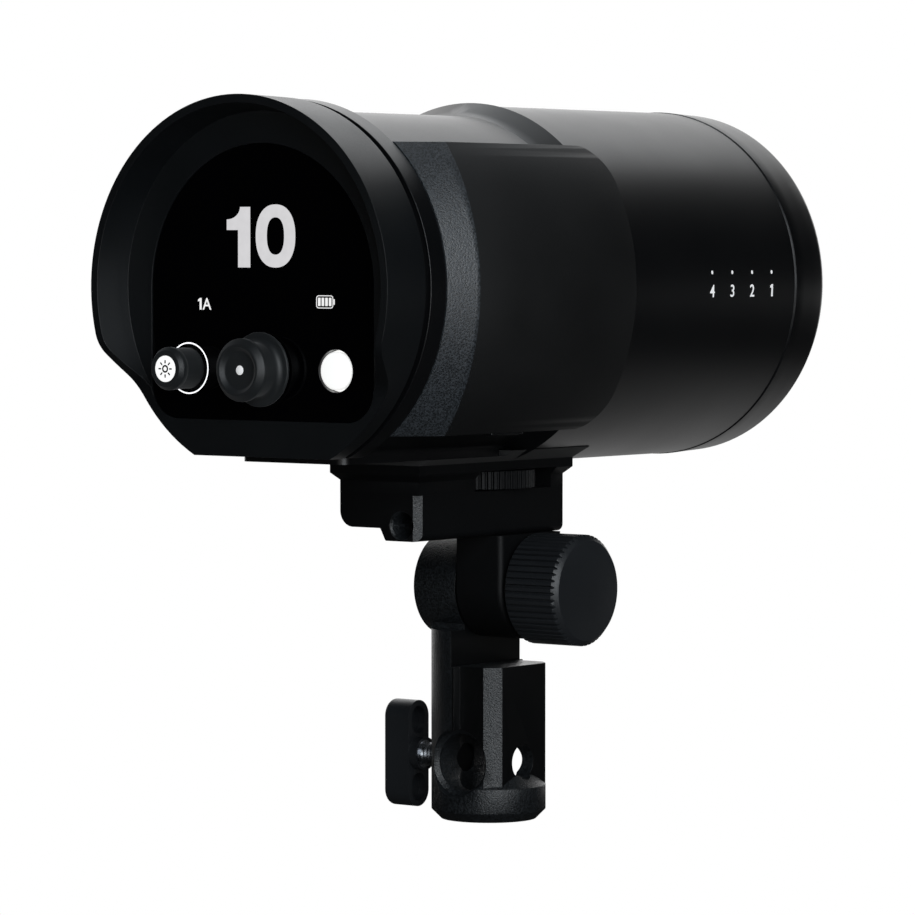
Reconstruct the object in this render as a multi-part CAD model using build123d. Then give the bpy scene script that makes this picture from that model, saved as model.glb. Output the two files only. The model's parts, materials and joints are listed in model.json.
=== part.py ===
from build123d import *
import os
from math import cos, pi, sin, sqrt

# Battery monolight on a tilting stand adapter.
# Frame, in millimetres: +X is the way the flash fires, +Y is the left of a person behind it, +Z is up.
# The origin is the mouth of the stand socket, on the socket's axis.

# ---- fits ----
run_gap = 0.08           # radial clearance of a shaft in its hole
seat_gap = 0.1           # round a piece that is set into a pocket of its own body
pass_gap = 0.3           # between faces that move past each other

# ---- stand socket ----
spigot_r = 8.1           # bore for a 16 mm spigot
socket_r = 16.1
socket_depth = 40.0
socket_roof = 3.6
socket_flat_x = 13.3     # the block's front and rear flats
socket_flat_y = 12.0     # its right flat
socket_corner = 3.8      # 45 degree corner between the rear flat and the right one
collar_h = 9.5           # round collar at the mouth
collar_slope = 4.5
mouth_chamfer = 2.7
cross_z = 16.5           # height of the cross bore and of the clamp screw
cross_mouth = 1.2        # how much wider the cross bore's mouths are
side_hole_r = 4.9        # hole opposite the clamp screw

# ---- clamp ----
clamp_r = 4.0
clamp_bar_w = 9.4
clamp_bar_h = 30.4
clamp_bar_t = 9.2
clamp_reach = 25.0       # inner face of the bar from the socket's axis
clamp_boss_h = 2.6
clamp_pocket_depth = 2.2
clamp_pad_t = 2.0

# ---- tilt joint ----
ear_r = 14.4
ear_t = 14.5
ear_in_y = 1.0           # inner face of the ear
neck_gap = 7.6           # between the socket block and the lug above it
neck_drop = 12.0         # the neck stops this far under the tilt axis
web_half_w = 10.0        # between the socket block and the ear
lug_out_y = -15.2
friction_t = 0.5
friction_r = 12.5
bolt_r = 4.0
bolt_head_r = 7.0
bolt_head_t = 4.0
bolt_sink = 1.3          # bolt head below the ear's face
knob_r = 15.5
knob_t = 17.9
knob_ribs = 52
knob_rib_h = 0.7
knob_edge = 0.8
knob_nut_r = 6.6
knob_nut_t = 10.0
knob_washer_r = 9.0
knob_washer_t = 1.2

# ---- adapter ----
lug_drop = 15.1          # adapter's lowest face above the tilt axis
adapter_h = 12.6         # lower head
adapter_w = 27.2
adapter_rear_x = -49.6
adapter_front_x = 16.7
step_y = -0.4            # the underside steps down here, to the umbrella hole's side
step_h = 3.4
step_slope = 1.8
side_round = 4.4         # lower edge on the plain side
hole_side_round = 2.0    # lower edge on the umbrella hole's side
rear_corner = 1.9        # 45 degree cut of the rear upright corner on the umbrella hole's side
upper_h = 8.2            # upper plate
flange_h = 2.6
flange_out = 2.0
wheel_r = 17.0
wheel_x = -6.6
wheel_h = 5.1
wheel_ribs = 60
wheel_rib_h = 0.6
wheel_window = 17.6      # half length of the window that shows the wheel
mount_screw_r = 3.175    # 1/4 inch
mount_collar_r = 6.0
mount_collar_t = 3.0
umbrella_r = 3.6
umbrella_y = -7.8
umbrella_drop = 8.35     # its axis below the lower head's top
pad_t = 1.7
pad_wing = 6.0           # how far the saddle's wings reach past the flange
pad_wing_rise = 3.2
adapter_screw_y = 9.0
adapter_screw_grip = 2.9

# ---- head, lengths along X, from the ridge backwards and forwards ----
ridge_x = -9.8           # the shoulder's ridge from the stand's axis
shoulder_len = 7.2
body_len = 67.3
trim_len = 6.5
groove_len = 2.7
hood_len = 16.5
tube_len = 89.8
ring_len = 18.0

# ---- head, radii and depths ----
tube_r = 50.0
tube_wall = 2.5
ridge_over = 0.75        # the ridge outside the tube
housing_under = 3.0      # the rear shells inside the tube's radius
housing_wall = 2.5
groove_depth = 2.0       # the groove between the trim ring and the hood
hood_over = 0.75         # the hood's rim outside the trim ring
hood_taper = 0.45
hood_wall = 2.6
rim_w = 2.25             # width of the hood's rim
well_depth = 10.3        # from the rim to the ledge round the display
well_taper = 1.9
ledge_t = 2.5
hood_flat = 5.2          # flat underside of the hood, in from the tube's radius
rim_corner_up = 15.8     # where the hood's rim starts to sweep forward, below the axis
rim_round_up = 7.8
rim_round_down = 8.5
base_t = 2.0
base_half_w = 18.0
base_rear_over = 2.7     # how far the base plate reaches under the trim ring
base_corner = 3.0
rail_t = 3.3
foot_r = 8.0             # boss that holds the tripod insert
tongue_h = 3.8
insert_r = 4.6
insert_h = 9.5
base_screw_y = 13.0
base_screw_in = 7.0
screw_r = 1.5
screw_head_r = 2.75
screw_head_t = 1.6

# ---- display and controls ----
glass_in = 8.6           # the display glass's straight sides, in from the ledge's radius
glass_foot = 9.8         # its foot above the hood's flat underside
glass_corner = 9.0
glass_t = 2.0
glass_recess = 0.3
module_in = 13.0         # the display's sides, in from the glass's
module_h = 34.0
module_t = 3.0
module_up = 8.0
carrier_t = 2.2
carrier_post = 4.0
board_t = 1.6
board_in = 6.0           # the control board's edge, in from the groove
post_in = 3.4            # the board's posts, in from its edge
post_r = 3.0
post_turn = 21.25        # the posts' angle off level and off upright
control_up = 13.4        # the controls' axes above the glass's foot
control_in = 12.9        # the knob's and the button's axes, in from the glass's sides
press = 0.3              # travel of the dial and of the knob
dial_flange_r = 9.9
dial_flange_t = 0.8
dial_cap_r = 8.35
dial_waist_r = 7.2
dial_h = 9.6
dial_cap_t = 2.4
dial_lip_r = 6.8
dial_dish = 1.1
knob2_r = 5.75
knob2_body_r = 5.5
knob2_h = 9.4
knob2_cap_t = 2.6
knob2_disc_r = 3.5
knob2_disc_t = 0.3
light_ring_in_r = 6.2
light_ring_out_r = 6.95
light_ring_proud = 0.25
shaft_r = 3.0
plunger_r = 1.2
shaft_sink = 3.0         # depth of the shaft in its dial or knob
shaft_end = 2.0          # solid end of the shaft
foot_gap = 0.15          # under a dial or knob that is pressed home
encoder_w = 13.0
encoder_floor = 1.0
button_r = 5.45
button_proud = 0.7
button_travel = 0.4
button_stem_r = 2.0
switch_w = 6.0
switch_t = 1.2

# ---- side panels: battery pack on the right, fixed cover on the left ----
side_arc_over = 6.4      # the outer face's arc has its centre this far beyond the middle plane
side_over = 5.0          # the outer face beyond the tube's radius
side_top_in = 11.7       # its top and bottom, in from the tube's radius
side_foot_in = 11.0
side_front_over = 3.8    # how far the panel reaches past the ridge
side_corner = 10.0
bevel_over = 0.2         # the panel's textured end starts this far outside the trim ring
bevel_slope = 0.6
bevel_inset = 1.6        # the slanted wall's radial thickness, in side walls
side_wall = 2.4
finger_len = 38.0
finger_w = 6.0
finger_off = 4.0         # forward of the panel's middle
finger_in = 17.5         # in from the panel's outer face
finger_depth = 1.6
bay_half_h = 30.0
bay_wall = 1.6
bay_depth = 26.3         # from the case's outer face to the bay's floor
bay_start = 14.0         # from the housing's rear end
case_wall = 1.5
case_corner_gap = 0.28   # between the case's outer corners and the cover's inner arc
cell_r = 9.1
cell_len = 50.0
cell_count = 3
cell_gap = 0.3
rib_t = 2.0
rib_pitch = 20.0
blade_count = 5
blade_pitch = 3.4
blade_t = 0.8
blade_len = 9.0
battery_travel_gap = 0.3
latch_len = 14.0
latch_w = 6.0
latch_proud = 0.6
latch_stem = 2.6
latch_travel = 1.5

# ---- power parts ----
capacitor_share = 0.355  # a flash capacitor's radius as a share of the shell's inner radius
capacitor_len = 50.0
capacitor_apart = 2.4    # between the two capacitors
capacitor_gap = 2.1      # between a capacitor and the shell
power_board_gap = 3.0    # between the board's edges and the housing screws
power_board_in = 4.5
frame_rib_t = 2.0
cradle_y = 8.0
transformer_len = 20.0
transformer_h = 22.0
house_screw_down = 11.0  # the housing screws, in from the shells' radius
house_screw_in = 5.2
house_boss_r = 3.6
house_head_y = 24.0
panel_rib_start = 14.0   # the panel's ribs start this far forward of the shells' rear end

# ---- lamp end ----
spigot_len = 4.4         # the tube's spigot inside the shoulder
spigot_wall = 2.2
bulkhead_t = 2.0
fan_w = 50.0
fan_t = 15.0
fan_hole_r = 23.5
fan_hub_r = 9.0
fan_axle_r = 1.5
fan_blades = 7
fan_blade_t = 1.4
sink_disc_r = 34.0
sink_disc_t = 4.0
sink_fins = 24
sink_fin_t = 1.2
sink_core_r = 10.0
lamp_base_x = 50.0       # from the ridge
lamp_base_t = 3.0
led_r = 11.0
led_t = 1.6
led_dome_r = 7.0
flash_ring_r = 19.0
flash_tube_r = 3.5
flash_stand = 9.0
flash_gap_deg = 40.0
reflector_t = 1.0
reflector_floor_r = 30.0
reflector_hole_r = 13.0
front_glass_t = 4.0
front_lip = 2.7
front_lip_in = 5.2       # the ring's opening, in from the tube's radius
front_round = 4.0
front_ring_taper = 0.5
ring_spigot = 6.0
ring_seam = 0.2          # how far the ring stands proud of the tube

# ---- worked out: radii and widths of the head ----
ridge_r = tube_r + ridge_over
housing_r = tube_r - housing_under
inside_r = housing_r - housing_wall
trim_r = tube_r
groove_r = trim_r - groove_depth
hood_r = trim_r + hood_over
hood_front_r = hood_r - hood_taper
hood_drop = tube_r - hood_flat
well_r = hood_r - rim_w
ledge_r = well_r - well_taper
glass_half_w = ledge_r - glass_in
glass_drop = hood_drop - glass_foot
module_w = 2 * (glass_half_w - module_in)
board_r = groove_r - board_in
control_drop = glass_drop - control_up
control_pitch = glass_half_w - control_in
side_w = tube_r + side_over
side_arc_r = side_w + side_arc_over
side_up = tube_r - side_top_in
side_down = tube_r - side_foot_in
bevel_r = trim_r + bevel_over
case_half_h = bay_half_h - battery_travel_gap
case_out_y = sqrt((side_arc_r - side_wall) ** 2 - case_half_h ** 2) - side_arc_over - case_corner_gap
bay_floor_y = case_out_y - bay_depth
capacitor_r = capacitor_share * inside_r
capacitor_z = capacitor_r + capacitor_apart / 2
capacitor_y = sqrt((inside_r - capacitor_gap - capacitor_r) ** 2 - capacitor_z ** 2)
house_screw_z = housing_r - house_screw_down
power_board_h = 2 * (house_screw_z - screw_r - power_board_gap)
front_lip_r = tube_r - front_lip_in

# ---- worked out: heights ----
socket_top = socket_depth + socket_roof
tilt_z = socket_top + neck_gap + ear_r
adapter_z = tilt_z + lug_drop
upper_z = adapter_z + adapter_h
flange_z = upper_z + upper_h - flange_h
pad_z = upper_z + upper_h
base_z = pad_z + pad_t
head_z = base_z + base_t + hood_drop
wheel_z = upper_z + pass_gap
control_z = head_z - control_drop

# ---- worked out: stations along X ----
shoulder_x = ridge_x - shoulder_len
trim_front_x = shoulder_x - body_len
trim_rear_x = trim_front_x - trim_len
hood_front_x = trim_rear_x - groove_len
rim_x = hood_front_x - hood_len
ledge_x = rim_x + well_depth
glass_x = ledge_x + glass_recess
module_x = glass_x + glass_t
carrier_x = ledge_x + ledge_t
board_x = carrier_x + carrier_t + carrier_post
encoder_floor_x = board_x - encoder_floor
foot_x = glass_x - press - foot_gap
ring_x = ridge_x + tube_len
front_x = ring_x + ring_len
lamp_x = ridge_x + lamp_base_x
bulkhead_x = ridge_x + spigot_len - pass_gap
fan_x = bulkhead_x + bulkhead_t
glass_back_x = front_x - front_lip - front_glass_t
bay_x0 = trim_front_x + bay_start
bay_x1 = bay_x0 + cell_len + 2 * case_wall + 2 * battery_travel_gap + 2 * seat_gap + 2 * cell_gap
side_x1 = ridge_x + side_front_over
lug_in_y = ear_in_y - friction_t - 0.2
knob_in_y = lug_out_y - pass_gap - knob_washer_t


# ---- building blocks ----
def box(x0, x1, y0, y1, z0, z1):
    """A box between two corners."""
    return Pos((x0 + x1) / 2, (y0 + y1) / 2, (z0 + z1) / 2) * Box(x1 - x0, y1 - y0, z1 - z0)


def rod_x(r, x0, x1, y=0.0, z=None):
    """A cylinder along X, on the head's axis unless told where."""
    z = head_z if z is None else z
    return Pos((x0 + x1) / 2, y, z) * Rot(0, 90, 0) * Cylinder(r, x1 - x0)


def rod_y(r, y0, y1, x, z):
    return Pos(x, (y0 + y1) / 2, z) * Rot(90, 0, 0) * Cylinder(r, y1 - y0)


def rod_z(r, z0, z1, x=0.0, y=0.0):
    return Pos(x, y, (z0 + z1) / 2) * Cylinder(r, z1 - z0)


def cone_z(r0, r1, z0, z1):
    return Pos(0, 0, (z0 + z1) / 2) * Cone(r0, r1, z1 - z0)


def outline(points, radii=None):
    """A closed face through the points, each corner rounded by its radius."""
    if radii is None:
        return make_face(Polyline(*points, close=True))
    return make_face(FilletPolyline(*points, radius=radii, close=True))


def prism_x(face, x0, x1):
    """A face drawn in (y, z), carried from x0 to x1."""
    return extrude(Plane.YZ.offset(x0) * face, amount=x1 - x0)


def prism_y(face, y0, y1):
    """A face drawn in (x, z), carried from y0 to y1."""
    return extrude(Plane.XZ.offset(-y1) * face, amount=y1 - y0)


def prism_z(face, z0, z1):
    """A face drawn in (x, y), carried from z0 to z1."""
    return extrude(Plane.XY.offset(z0) * face, amount=z1 - z0)


def turned_x(*points, radii=None):
    """A solid turned about the head's axis from (x, radius) points."""
    return Pos(0, 0, head_z) * revolve(Plane.XZ * outline(points, radii), Axis.X)


def turned_y(x, z, *points):
    """A solid turned about a line along Y from (radius, y) points."""
    return Pos(x, 0, z) * revolve(outline(points), Axis.Y)


def above(drop):
    """All of the head's space that is higher than the drop below its axis."""
    reach = 2 * hood_r
    return box(rim_x - reach, front_x + reach, -reach, reach, head_z - drop, head_z + reach)


def ribbed(r, depth, count):
    """A round outline with flat-topped ribs, each an equal share of the circumference."""
    step = 2 * pi / count
    levels = ((0.0, r - depth), (0.22, r - depth), (0.36, r), (0.86, r))
    return outline([(h * cos((i + t) * step), h * sin((i + t) * step))
                    for i in range(count) for t, h in levels])


def screw_z(x, y, z0, z1, head_up):
    """A screw along Z with its head at the top end or at the bottom end."""
    shank = rod_z(screw_r, z0, z1, x, y)
    head = (z1 - screw_head_t, z1) if head_up else (z0, z0 + screw_head_t)
    return shank + rod_z(screw_head_r, *head, x, y)


# ---- stand socket and tilt joint ----
def stand_socket():
    flat_x, flat_y, corner = socket_flat_x, socket_flat_y, socket_corner
    right_half = outline([(-flat_x, 0), (-flat_x, corner - flat_y), (corner - flat_x, -flat_y),
                          (flat_x, -flat_y), (flat_x, 0)])
    left = box(-socket_r, socket_r, 0, socket_r, 0, tilt_z)
    block = rod_z(socket_r, 0, socket_top) & left
    block += prism_z(right_half, 0, socket_top) & rod_z(socket_r, 0, socket_top)
    block += rod_z(socket_r, 0, collar_h)
    block += cone_z(socket_r, socket_flat_y - 1, collar_h, collar_h + collar_slope)
    neck = rod_z(socket_r, 0, tilt_z - neck_drop)
    neck &= box(-socket_r, socket_r, ear_in_y, socket_r, 0, tilt_z)
    ear = rod_y(ear_r, ear_in_y, ear_in_y + ear_t, 0, tilt_z)
    web = box(-web_half_w, web_half_w, ear_in_y, ear_in_y + ear_t, socket_top, tilt_z)
    web &= rod_z(socket_r, socket_top, tilt_z)
    body = block + neck + ear + web
    body -= socket_bores()
    body -= rod_y(bolt_r, 0, socket_r + 1, 0, tilt_z)
    seat_y = ear_in_y + ear_t - bolt_sink - bolt_head_t
    return body - rod_y(bolt_head_r + seat_gap, seat_y, socket_r + 1, 0, tilt_z)


def socket_bores():
    """The spigot bore, the cross bore with its wider mouths, the side hole and the clamp's hole."""
    reach = socket_r + 1
    rim = rod_z(2 * socket_r, 0, mouth_chamfer) - cone_z(socket_r - mouth_chamfer, socket_r, 0, mouth_chamfer)
    cuts = rim + rod_z(spigot_r, 0, socket_depth)
    cuts += Pos(0, 0, cross_z) * Rot(0, 90, 0) * Cylinder(spigot_r, 2 * reach)
    for side in (-1, 1):
        mouth = Cone(spigot_r + cross_mouth, spigot_r, cross_mouth)
        turn = Rot(0, 90, 0) if side < 0 else Rot(0, -90, 0)
        cuts += Pos(side * (socket_flat_x - cross_mouth / 2), 0, cross_z) * turn * mouth
        outer = (socket_flat_x, reach) if side > 0 else (-reach, -socket_flat_x)
        cuts += rod_x(spigot_r + cross_mouth, *outer, 0, cross_z)
    cuts += rod_y(side_hole_r, -reach, 0, 0, cross_z)
    cuts += rod_y(clamp_r + run_gap, 0, reach, 0, cross_z)
    return cuts


def tilt_bolt():
    head_y = ear_in_y + ear_t - bolt_sink
    end_y = knob_in_y - knob_nut_t
    head = prism_y(RegularPolygon(bolt_head_r, 6), head_y - bolt_head_t, head_y)
    return Pos(0, 0, tilt_z) * head + rod_y(bolt_r, end_y, head_y, 0, tilt_z)


def friction_washer():
    ring = rod_y(friction_r, ear_in_y - friction_t, ear_in_y, 0, tilt_z)
    return ring - rod_y(bolt_r, -1, ear_in_y + 1, 0, tilt_z)


def tilt_knob():
    out_y = knob_in_y - knob_t
    body = Pos(0, 0, tilt_z) * prism_y(ribbed(knob_r, knob_rib_h, knob_ribs), out_y, knob_in_y)
    edge = 2 * knob_edge
    body &= turned_y(0, tilt_z, (0, out_y), (knob_r - edge, out_y), (knob_r, out_y + edge),
                     (knob_r, knob_in_y - knob_edge), (knob_r - knob_edge, knob_in_y), (0, knob_in_y))
    body -= rod_y(knob_nut_r, knob_in_y - knob_nut_t, knob_in_y, 0, tilt_z)
    return body - rod_y(bolt_r + run_gap, knob_in_y - knob_nut_t - 1, knob_in_y, 0, tilt_z)


def knob_nut():
    nut = prism_y(RegularPolygon(knob_nut_r, 6), knob_in_y - knob_nut_t, knob_in_y)
    return Pos(0, 0, tilt_z) * nut - rod_y(bolt_r + run_gap, knob_in_y - knob_nut_t, knob_in_y, 0, tilt_z)


def knob_washer():
    ring = rod_y(knob_washer_r, knob_in_y, knob_in_y + knob_washer_t, 0, tilt_z)
    return ring - rod_y(bolt_r + run_gap, knob_in_y - 1, lug_out_y, 0, tilt_z)


# ---- clamp ----
def clamp_pad():
    return rod_y(clamp_r, spigot_r + pass_gap, spigot_r + pass_gap + clamp_pad_t, 0, cross_z)


def clamp_screw():
    start = spigot_r + pass_gap + clamp_pad_t + run_gap
    return rod_y(clamp_r, start, clamp_reach + clamp_bar_t - clamp_boss_h, 0, cross_z)


def clamp_handle():
    half = clamp_bar_w / 2
    y0, y1 = clamp_reach, clamp_reach + clamp_bar_t
    bar = prism_y(SlotOverall(clamp_bar_h, clamp_bar_w, rotation=90), y0, y1)
    outer_edges = bar.edges().filter_by(lambda e: e.center().Y > y1 - 0.01)
    bar = fillet(outer_edges, half * 0.3)
    pocket_h = clamp_bar_h / 2 - 1.8 * clamp_r
    for side in (-1, 1):
        pocket = SlotOverall(pocket_h, clamp_bar_w - 3.4, rotation=90)
        place = Pos(0, 0, side * (clamp_bar_h / 2 - pocket_h / 2 - 1.6))
        bar -= place * prism_y(pocket, y0, y0 + clamp_pocket_depth)
    bar = Pos(0, 0, cross_z) * bar
    bar += rod_y(half, y0 - clamp_boss_h, y0, 0, cross_z)
    return bar - rod_y(clamp_r, 0, y1 - clamp_boss_h, 0, cross_z)


# ---- adapter ----
def adapter_head():
    half, low, high = adapter_w / 2, adapter_z, adapter_z + step_h
    section = outline([(half, upper_z), (half, high), (step_y, high), (step_y - step_slope, low), (-half, low),
                       (-half, upper_z)],
                      [0, side_round, 0.6, 0.6, hole_side_round, 0])
    body = prism_x(section, adapter_rear_x, adapter_front_x)
    cut = rear_corner
    plan = outline([(adapter_rear_x, cut - half), (adapter_rear_x + cut, -half), (adapter_front_x, -half),
                    (adapter_front_x, half), (adapter_rear_x, half)])
    body &= prism_z(plan, low - 1, upper_z)
    lug = rod_y(ear_r, lug_out_y, lug_in_y, 0, tilt_z)
    lug += box(-ear_r, ear_r, lug_out_y, lug_in_y, tilt_z, low)
    rounding = lug.edges().filter_by(lambda e: e.center().Y < lug_out_y + 0.01 and e.center().Z < low - 0.01)
    body += fillet(rounding, 1.6)
    body += box(-ear_r, ear_r, hole_side_round - half, lug_in_y, low - 1, high + 1)
    body -= rod_y(bolt_r + run_gap, lug_out_y - 1, lug_in_y + 1, 0, tilt_z)
    body -= umbrella_hole()
    body -= rod_z(mount_collar_r + pass_gap, upper_z - mount_collar_t - pass_gap, upper_z + 1, wheel_x)
    for x, y in adapter_screw_spots():
        body -= rod_z(screw_r, upper_z - adapter_screw_grip, upper_z, x, y)
    return body


def umbrella_hole():
    z = upper_z - umbrella_drop
    hole = rod_x(umbrella_r, adapter_rear_x - 1, adapter_front_x + 1, umbrella_y, z)
    for x, turn in ((adapter_rear_x, 90), (adapter_front_x, -90)):
        hole += Pos(x, umbrella_y, z) * Rot(0, turn, 0) * Cone(umbrella_r + 1.0, umbrella_r, 1.6)
    return hole


def adapter_screw_spots():
    rear, front = adapter_rear_x + 5.6, adapter_front_x - 2.9
    return [(x, y * adapter_screw_y) for x in (rear, front) for y in (-1, 1)]


def adapter_plate():
    half, out = adapter_w / 2, flange_out
    body = box(adapter_rear_x, adapter_front_x, -half, half, upper_z, pad_z)
    top = Rectangle(adapter_front_x - adapter_rear_x + 2 * out, adapter_w + 2 * out)
    foot = Rectangle(adapter_front_x - adapter_rear_x, adapter_w)
    middle = Pos((adapter_rear_x + adapter_front_x) / 2, 0, 0)
    body += prism_z(middle * top, flange_z, pad_z)
    body += loft([Plane.XY.offset(flange_z - out) * middle * foot, Plane.XY.offset(flange_z) * middle * top])
    body -= box(wheel_x - wheel_window, wheel_x + wheel_window, -adapter_w, adapter_w,
                upper_z, wheel_z + wheel_h + pass_gap)
    body -= rod_z(mount_screw_r + 2 * pass_gap, upper_z, pad_z + 1, wheel_x)
    for x, y in adapter_screw_spots():
        body -= screw_z(x, y, upper_z - 1, pad_z - pad_t, True)
        body -= rod_z(screw_head_r, pad_z - pad_t, pad_z + 1, x, y)
    return body - head_underside(pass_gap)


def adapter_screws():
    low = upper_z - adapter_screw_grip
    return [screw_z(x, y, low, pad_z - pad_t, True) for x, y in adapter_screw_spots()]


def head_underside(gap):
    """The shoulder and the tube, grown by a gap: what the saddle has to clear."""
    return turned_x((shoulder_x, 0), (shoulder_x, housing_r + gap), (ridge_x + gap, ridge_r + gap),
                    (ridge_x + gap, tube_r + gap), (front_x, tube_r + gap), (front_x, 0))


def adapter_pads():
    half, out = adapter_w / 2, flange_out
    foot, tip = half + out, half + out + pad_wing
    rise = pad_z + pad_wing_rise
    wings = outline([(-foot, pad_z), (foot, pad_z), (tip, rise), (-tip, rise)])
    body = prism_x(wings, adapter_rear_x - out, adapter_front_x + out)
    body -= box(adapter_rear_x - 2 * out, shoulder_x, -2 * tip, 2 * tip, base_z, head_z)
    body -= head_underside(0)
    return body - foot_solid(0) - rod_z(mount_screw_r + 2 * pass_gap, pad_z - 1, head_z, wheel_x)


def lock_wheel():
    body = Pos(wheel_x, 0, 0) * prism_z(ribbed(wheel_r, wheel_rib_h, wheel_ribs), wheel_z, wheel_z + wheel_h)
    return body - rod_z(mount_screw_r, wheel_z - 1, wheel_z + wheel_h + 1, wheel_x)


def mounting_screw():
    top = head_z - tube_r + insert_h
    stem = rod_z(mount_screw_r, upper_z - mount_collar_t, top, wheel_x)
    return stem + rod_z(mount_collar_r, upper_z - mount_collar_t, wheel_z, wheel_x)


# ---- head: shells ----
def base_plate():
    length = shoulder_x - trim_front_x + base_rear_over
    middle = trim_front_x - base_rear_over + length / 2
    plate = Pos(middle, 0, 0) * RectangleRounded(length, 2 * base_half_w, base_corner)
    body = prism_z(plate, base_z, base_z + base_t) + foot_solid(0)
    body -= rod_z(insert_r, head_z - 2 * tube_r, head_z, wheel_x)
    for x, y in base_screw_spots():
        body -= screw_z(x, y, base_z, base_z + 2 * base_t, False)
    return body


def foot_solid(gap):
    """Boss and tongue that carry the tripod insert, grown by a gap for the cuts round them."""
    boss = rod_z(foot_r + gap, head_z - ridge_r - gap, head_z - tube_r + insert_h + gap, wheel_x)
    if not gap:
        boss &= head_underside(0)
    tongue = box(shoulder_x - 0.01 - gap, wheel_x, -foot_r - gap, foot_r + gap,
                 base_z - gap, base_z + tongue_h + gap)
    return boss + tongue


def tripod_insert():
    body = rod_z(insert_r, head_z - tube_r + 0.6, head_z - tube_r + insert_h, wheel_x)
    return body - rod_z(mount_screw_r + run_gap, head_z - 2 * tube_r, head_z, wheel_x)


def base_screw_spots():
    ends = (trim_front_x + base_screw_in, shoulder_x - base_screw_in)
    return [(x, y * base_screw_y) for x in ends for y in (-1, 1)]


def base_screws():
    return [screw_z(x, y, base_z, base_z + base_t + rail_t - 0.5, False) for x, y in base_screw_spots()]


def house_screw_spots():
    ends = (trim_front_x + house_screw_in, shoulder_x - house_screw_in + 3.2)
    return [(x, head_z + z * house_screw_z) for x in ends for z in (-1, 1)]


def housing_shell():
    """Both halves in one: the tube, the shoulder, the flat rail under it and its cuts."""
    inner = inside_r
    spigot = tube_r - tube_wall - 1 + seat_gap
    step_back = ridge_x - spigot_len - seat_gap
    body = turned_x((trim_front_x, inner), (trim_front_x, housing_r), (shoulder_x, housing_r),
                    (ridge_x, ridge_r), (ridge_x, spigot), (step_back, spigot), (step_back, inner))
    body += box(trim_front_x, shoulder_x, -base_half_w, base_half_w,
                head_z - hood_drop, head_z - hood_drop + rail_t)
    body -= box(trim_front_x - 1, shoulder_x, -hood_r, hood_r, head_z - 2 * hood_r, head_z - hood_drop)
    body -= foot_solid(seat_gap)
    for x, y in base_screw_spots():
        body -= rod_z(screw_r, base_z, base_z + base_t + rail_t - 0.5, x, y)
    return body


def left_housing():
    half = box(rim_x, front_x, 0, 2 * hood_r, head_z - 2 * hood_r, head_z + 2 * hood_r)
    body = housing_shell() & half
    inside = rod_x(housing_r - housing_wall / 2, trim_front_x, shoulder_x)
    for x, z in house_screw_spots():
        body += rod_y(house_boss_r, 0, housing_r, x, z) & inside
        body -= rod_y(screw_r, -1, housing_r, x, z)
        body -= rod_y(screw_head_r + seat_gap, house_head_y, housing_r + 1, x, z)
    edge = power_board_h / 2
    for side in (-1, 1):
        z0, z1 = sorted((head_z + side * (edge - 2), head_z + side * housing_r))
        rib = box(trim_front_x + 9, shoulder_x - 9, seat_gap, seat_gap + frame_rib_t, z0, z1)
        body += rib & inside & above(hood_drop)
    return body


def right_housing():
    half = box(rim_x, front_x, -2 * hood_r, 0, head_z - 2 * hood_r, head_z + 2 * hood_r)
    body = housing_shell() & half
    inside = rod_x(housing_r - housing_wall / 2, trim_front_x, shoulder_x + 2)
    for x, z in house_screw_spots():
        body += rod_y(house_boss_r, -housing_r, 0, x, z) & inside
        body -= rod_y(screw_r, -8, 1, x, z)
    walls = box(bay_x0 - bay_wall, bay_x1 + bay_wall, -housing_r, bay_wall - bay_floor_y,
                head_z - bay_half_h - bay_wall, head_z + bay_half_h + bay_wall)
    body += walls & rod_x(housing_r, trim_front_x, ridge_x)
    body -= box(bay_x0, bay_x1, -2 * housing_r, -bay_floor_y, head_z - bay_half_h, head_z + bay_half_h)
    middle = (bay_x0 + bay_x1) / 2
    window = blade_count * blade_pitch / 2 + 1
    return body - box(middle - window, middle + window, -bay_floor_y - 1, bay_wall - bay_floor_y + 1,
                      head_z - blade_len / 2 - 1, head_z + blade_len / 2 + 1)


def housing_screws():
    return [rod_y(screw_r, -8, house_head_y, x, z)
            + rod_y(screw_head_r, house_head_y, house_head_y + screw_head_t, x, z)
            for x, z in house_screw_spots()]


def trim_ring():
    middle = trim_front_x - trim_len / 2
    body = turned_x((trim_rear_x, groove_r + seat_gap), (trim_rear_x, trim_r), (trim_front_x, trim_r),
                    (trim_front_x, inside_r), (middle, inside_r),
                    (middle, groove_r + seat_gap))
    return body & above(hood_drop)


def hood_keep():
    """Side outline of the hood: its rim stands back at the top and sweeps forward to the lip."""
    top, low = head_z + 2 * hood_r, head_z - 2 * hood_r
    corner = head_z - rim_corner_up
    face = outline([(rim_x, top), (rim_x, corner), (ledge_x, corner - well_depth), (ledge_x, low),
                    (trim_front_x, low), (trim_front_x, top)],
                   [0, rim_round_up, rim_round_down, 0, 0, 0])
    return prism_y(face, -2 * hood_r, 2 * hood_r)


def glass_outline(gap):
    """A half circle above straight sides, with a flat foot and rounded corners."""
    half, foot = glass_half_w + gap, glass_drop + gap
    radii = [0, glass_corner, glass_corner, 0]
    lower = outline([(-half, 0), (-half, -foot), (half, -foot), (half, 0)], radii)
    return lower + (Circle(half) & Pos(0, half) * Rectangle(2 * half, 2 * half))


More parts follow.
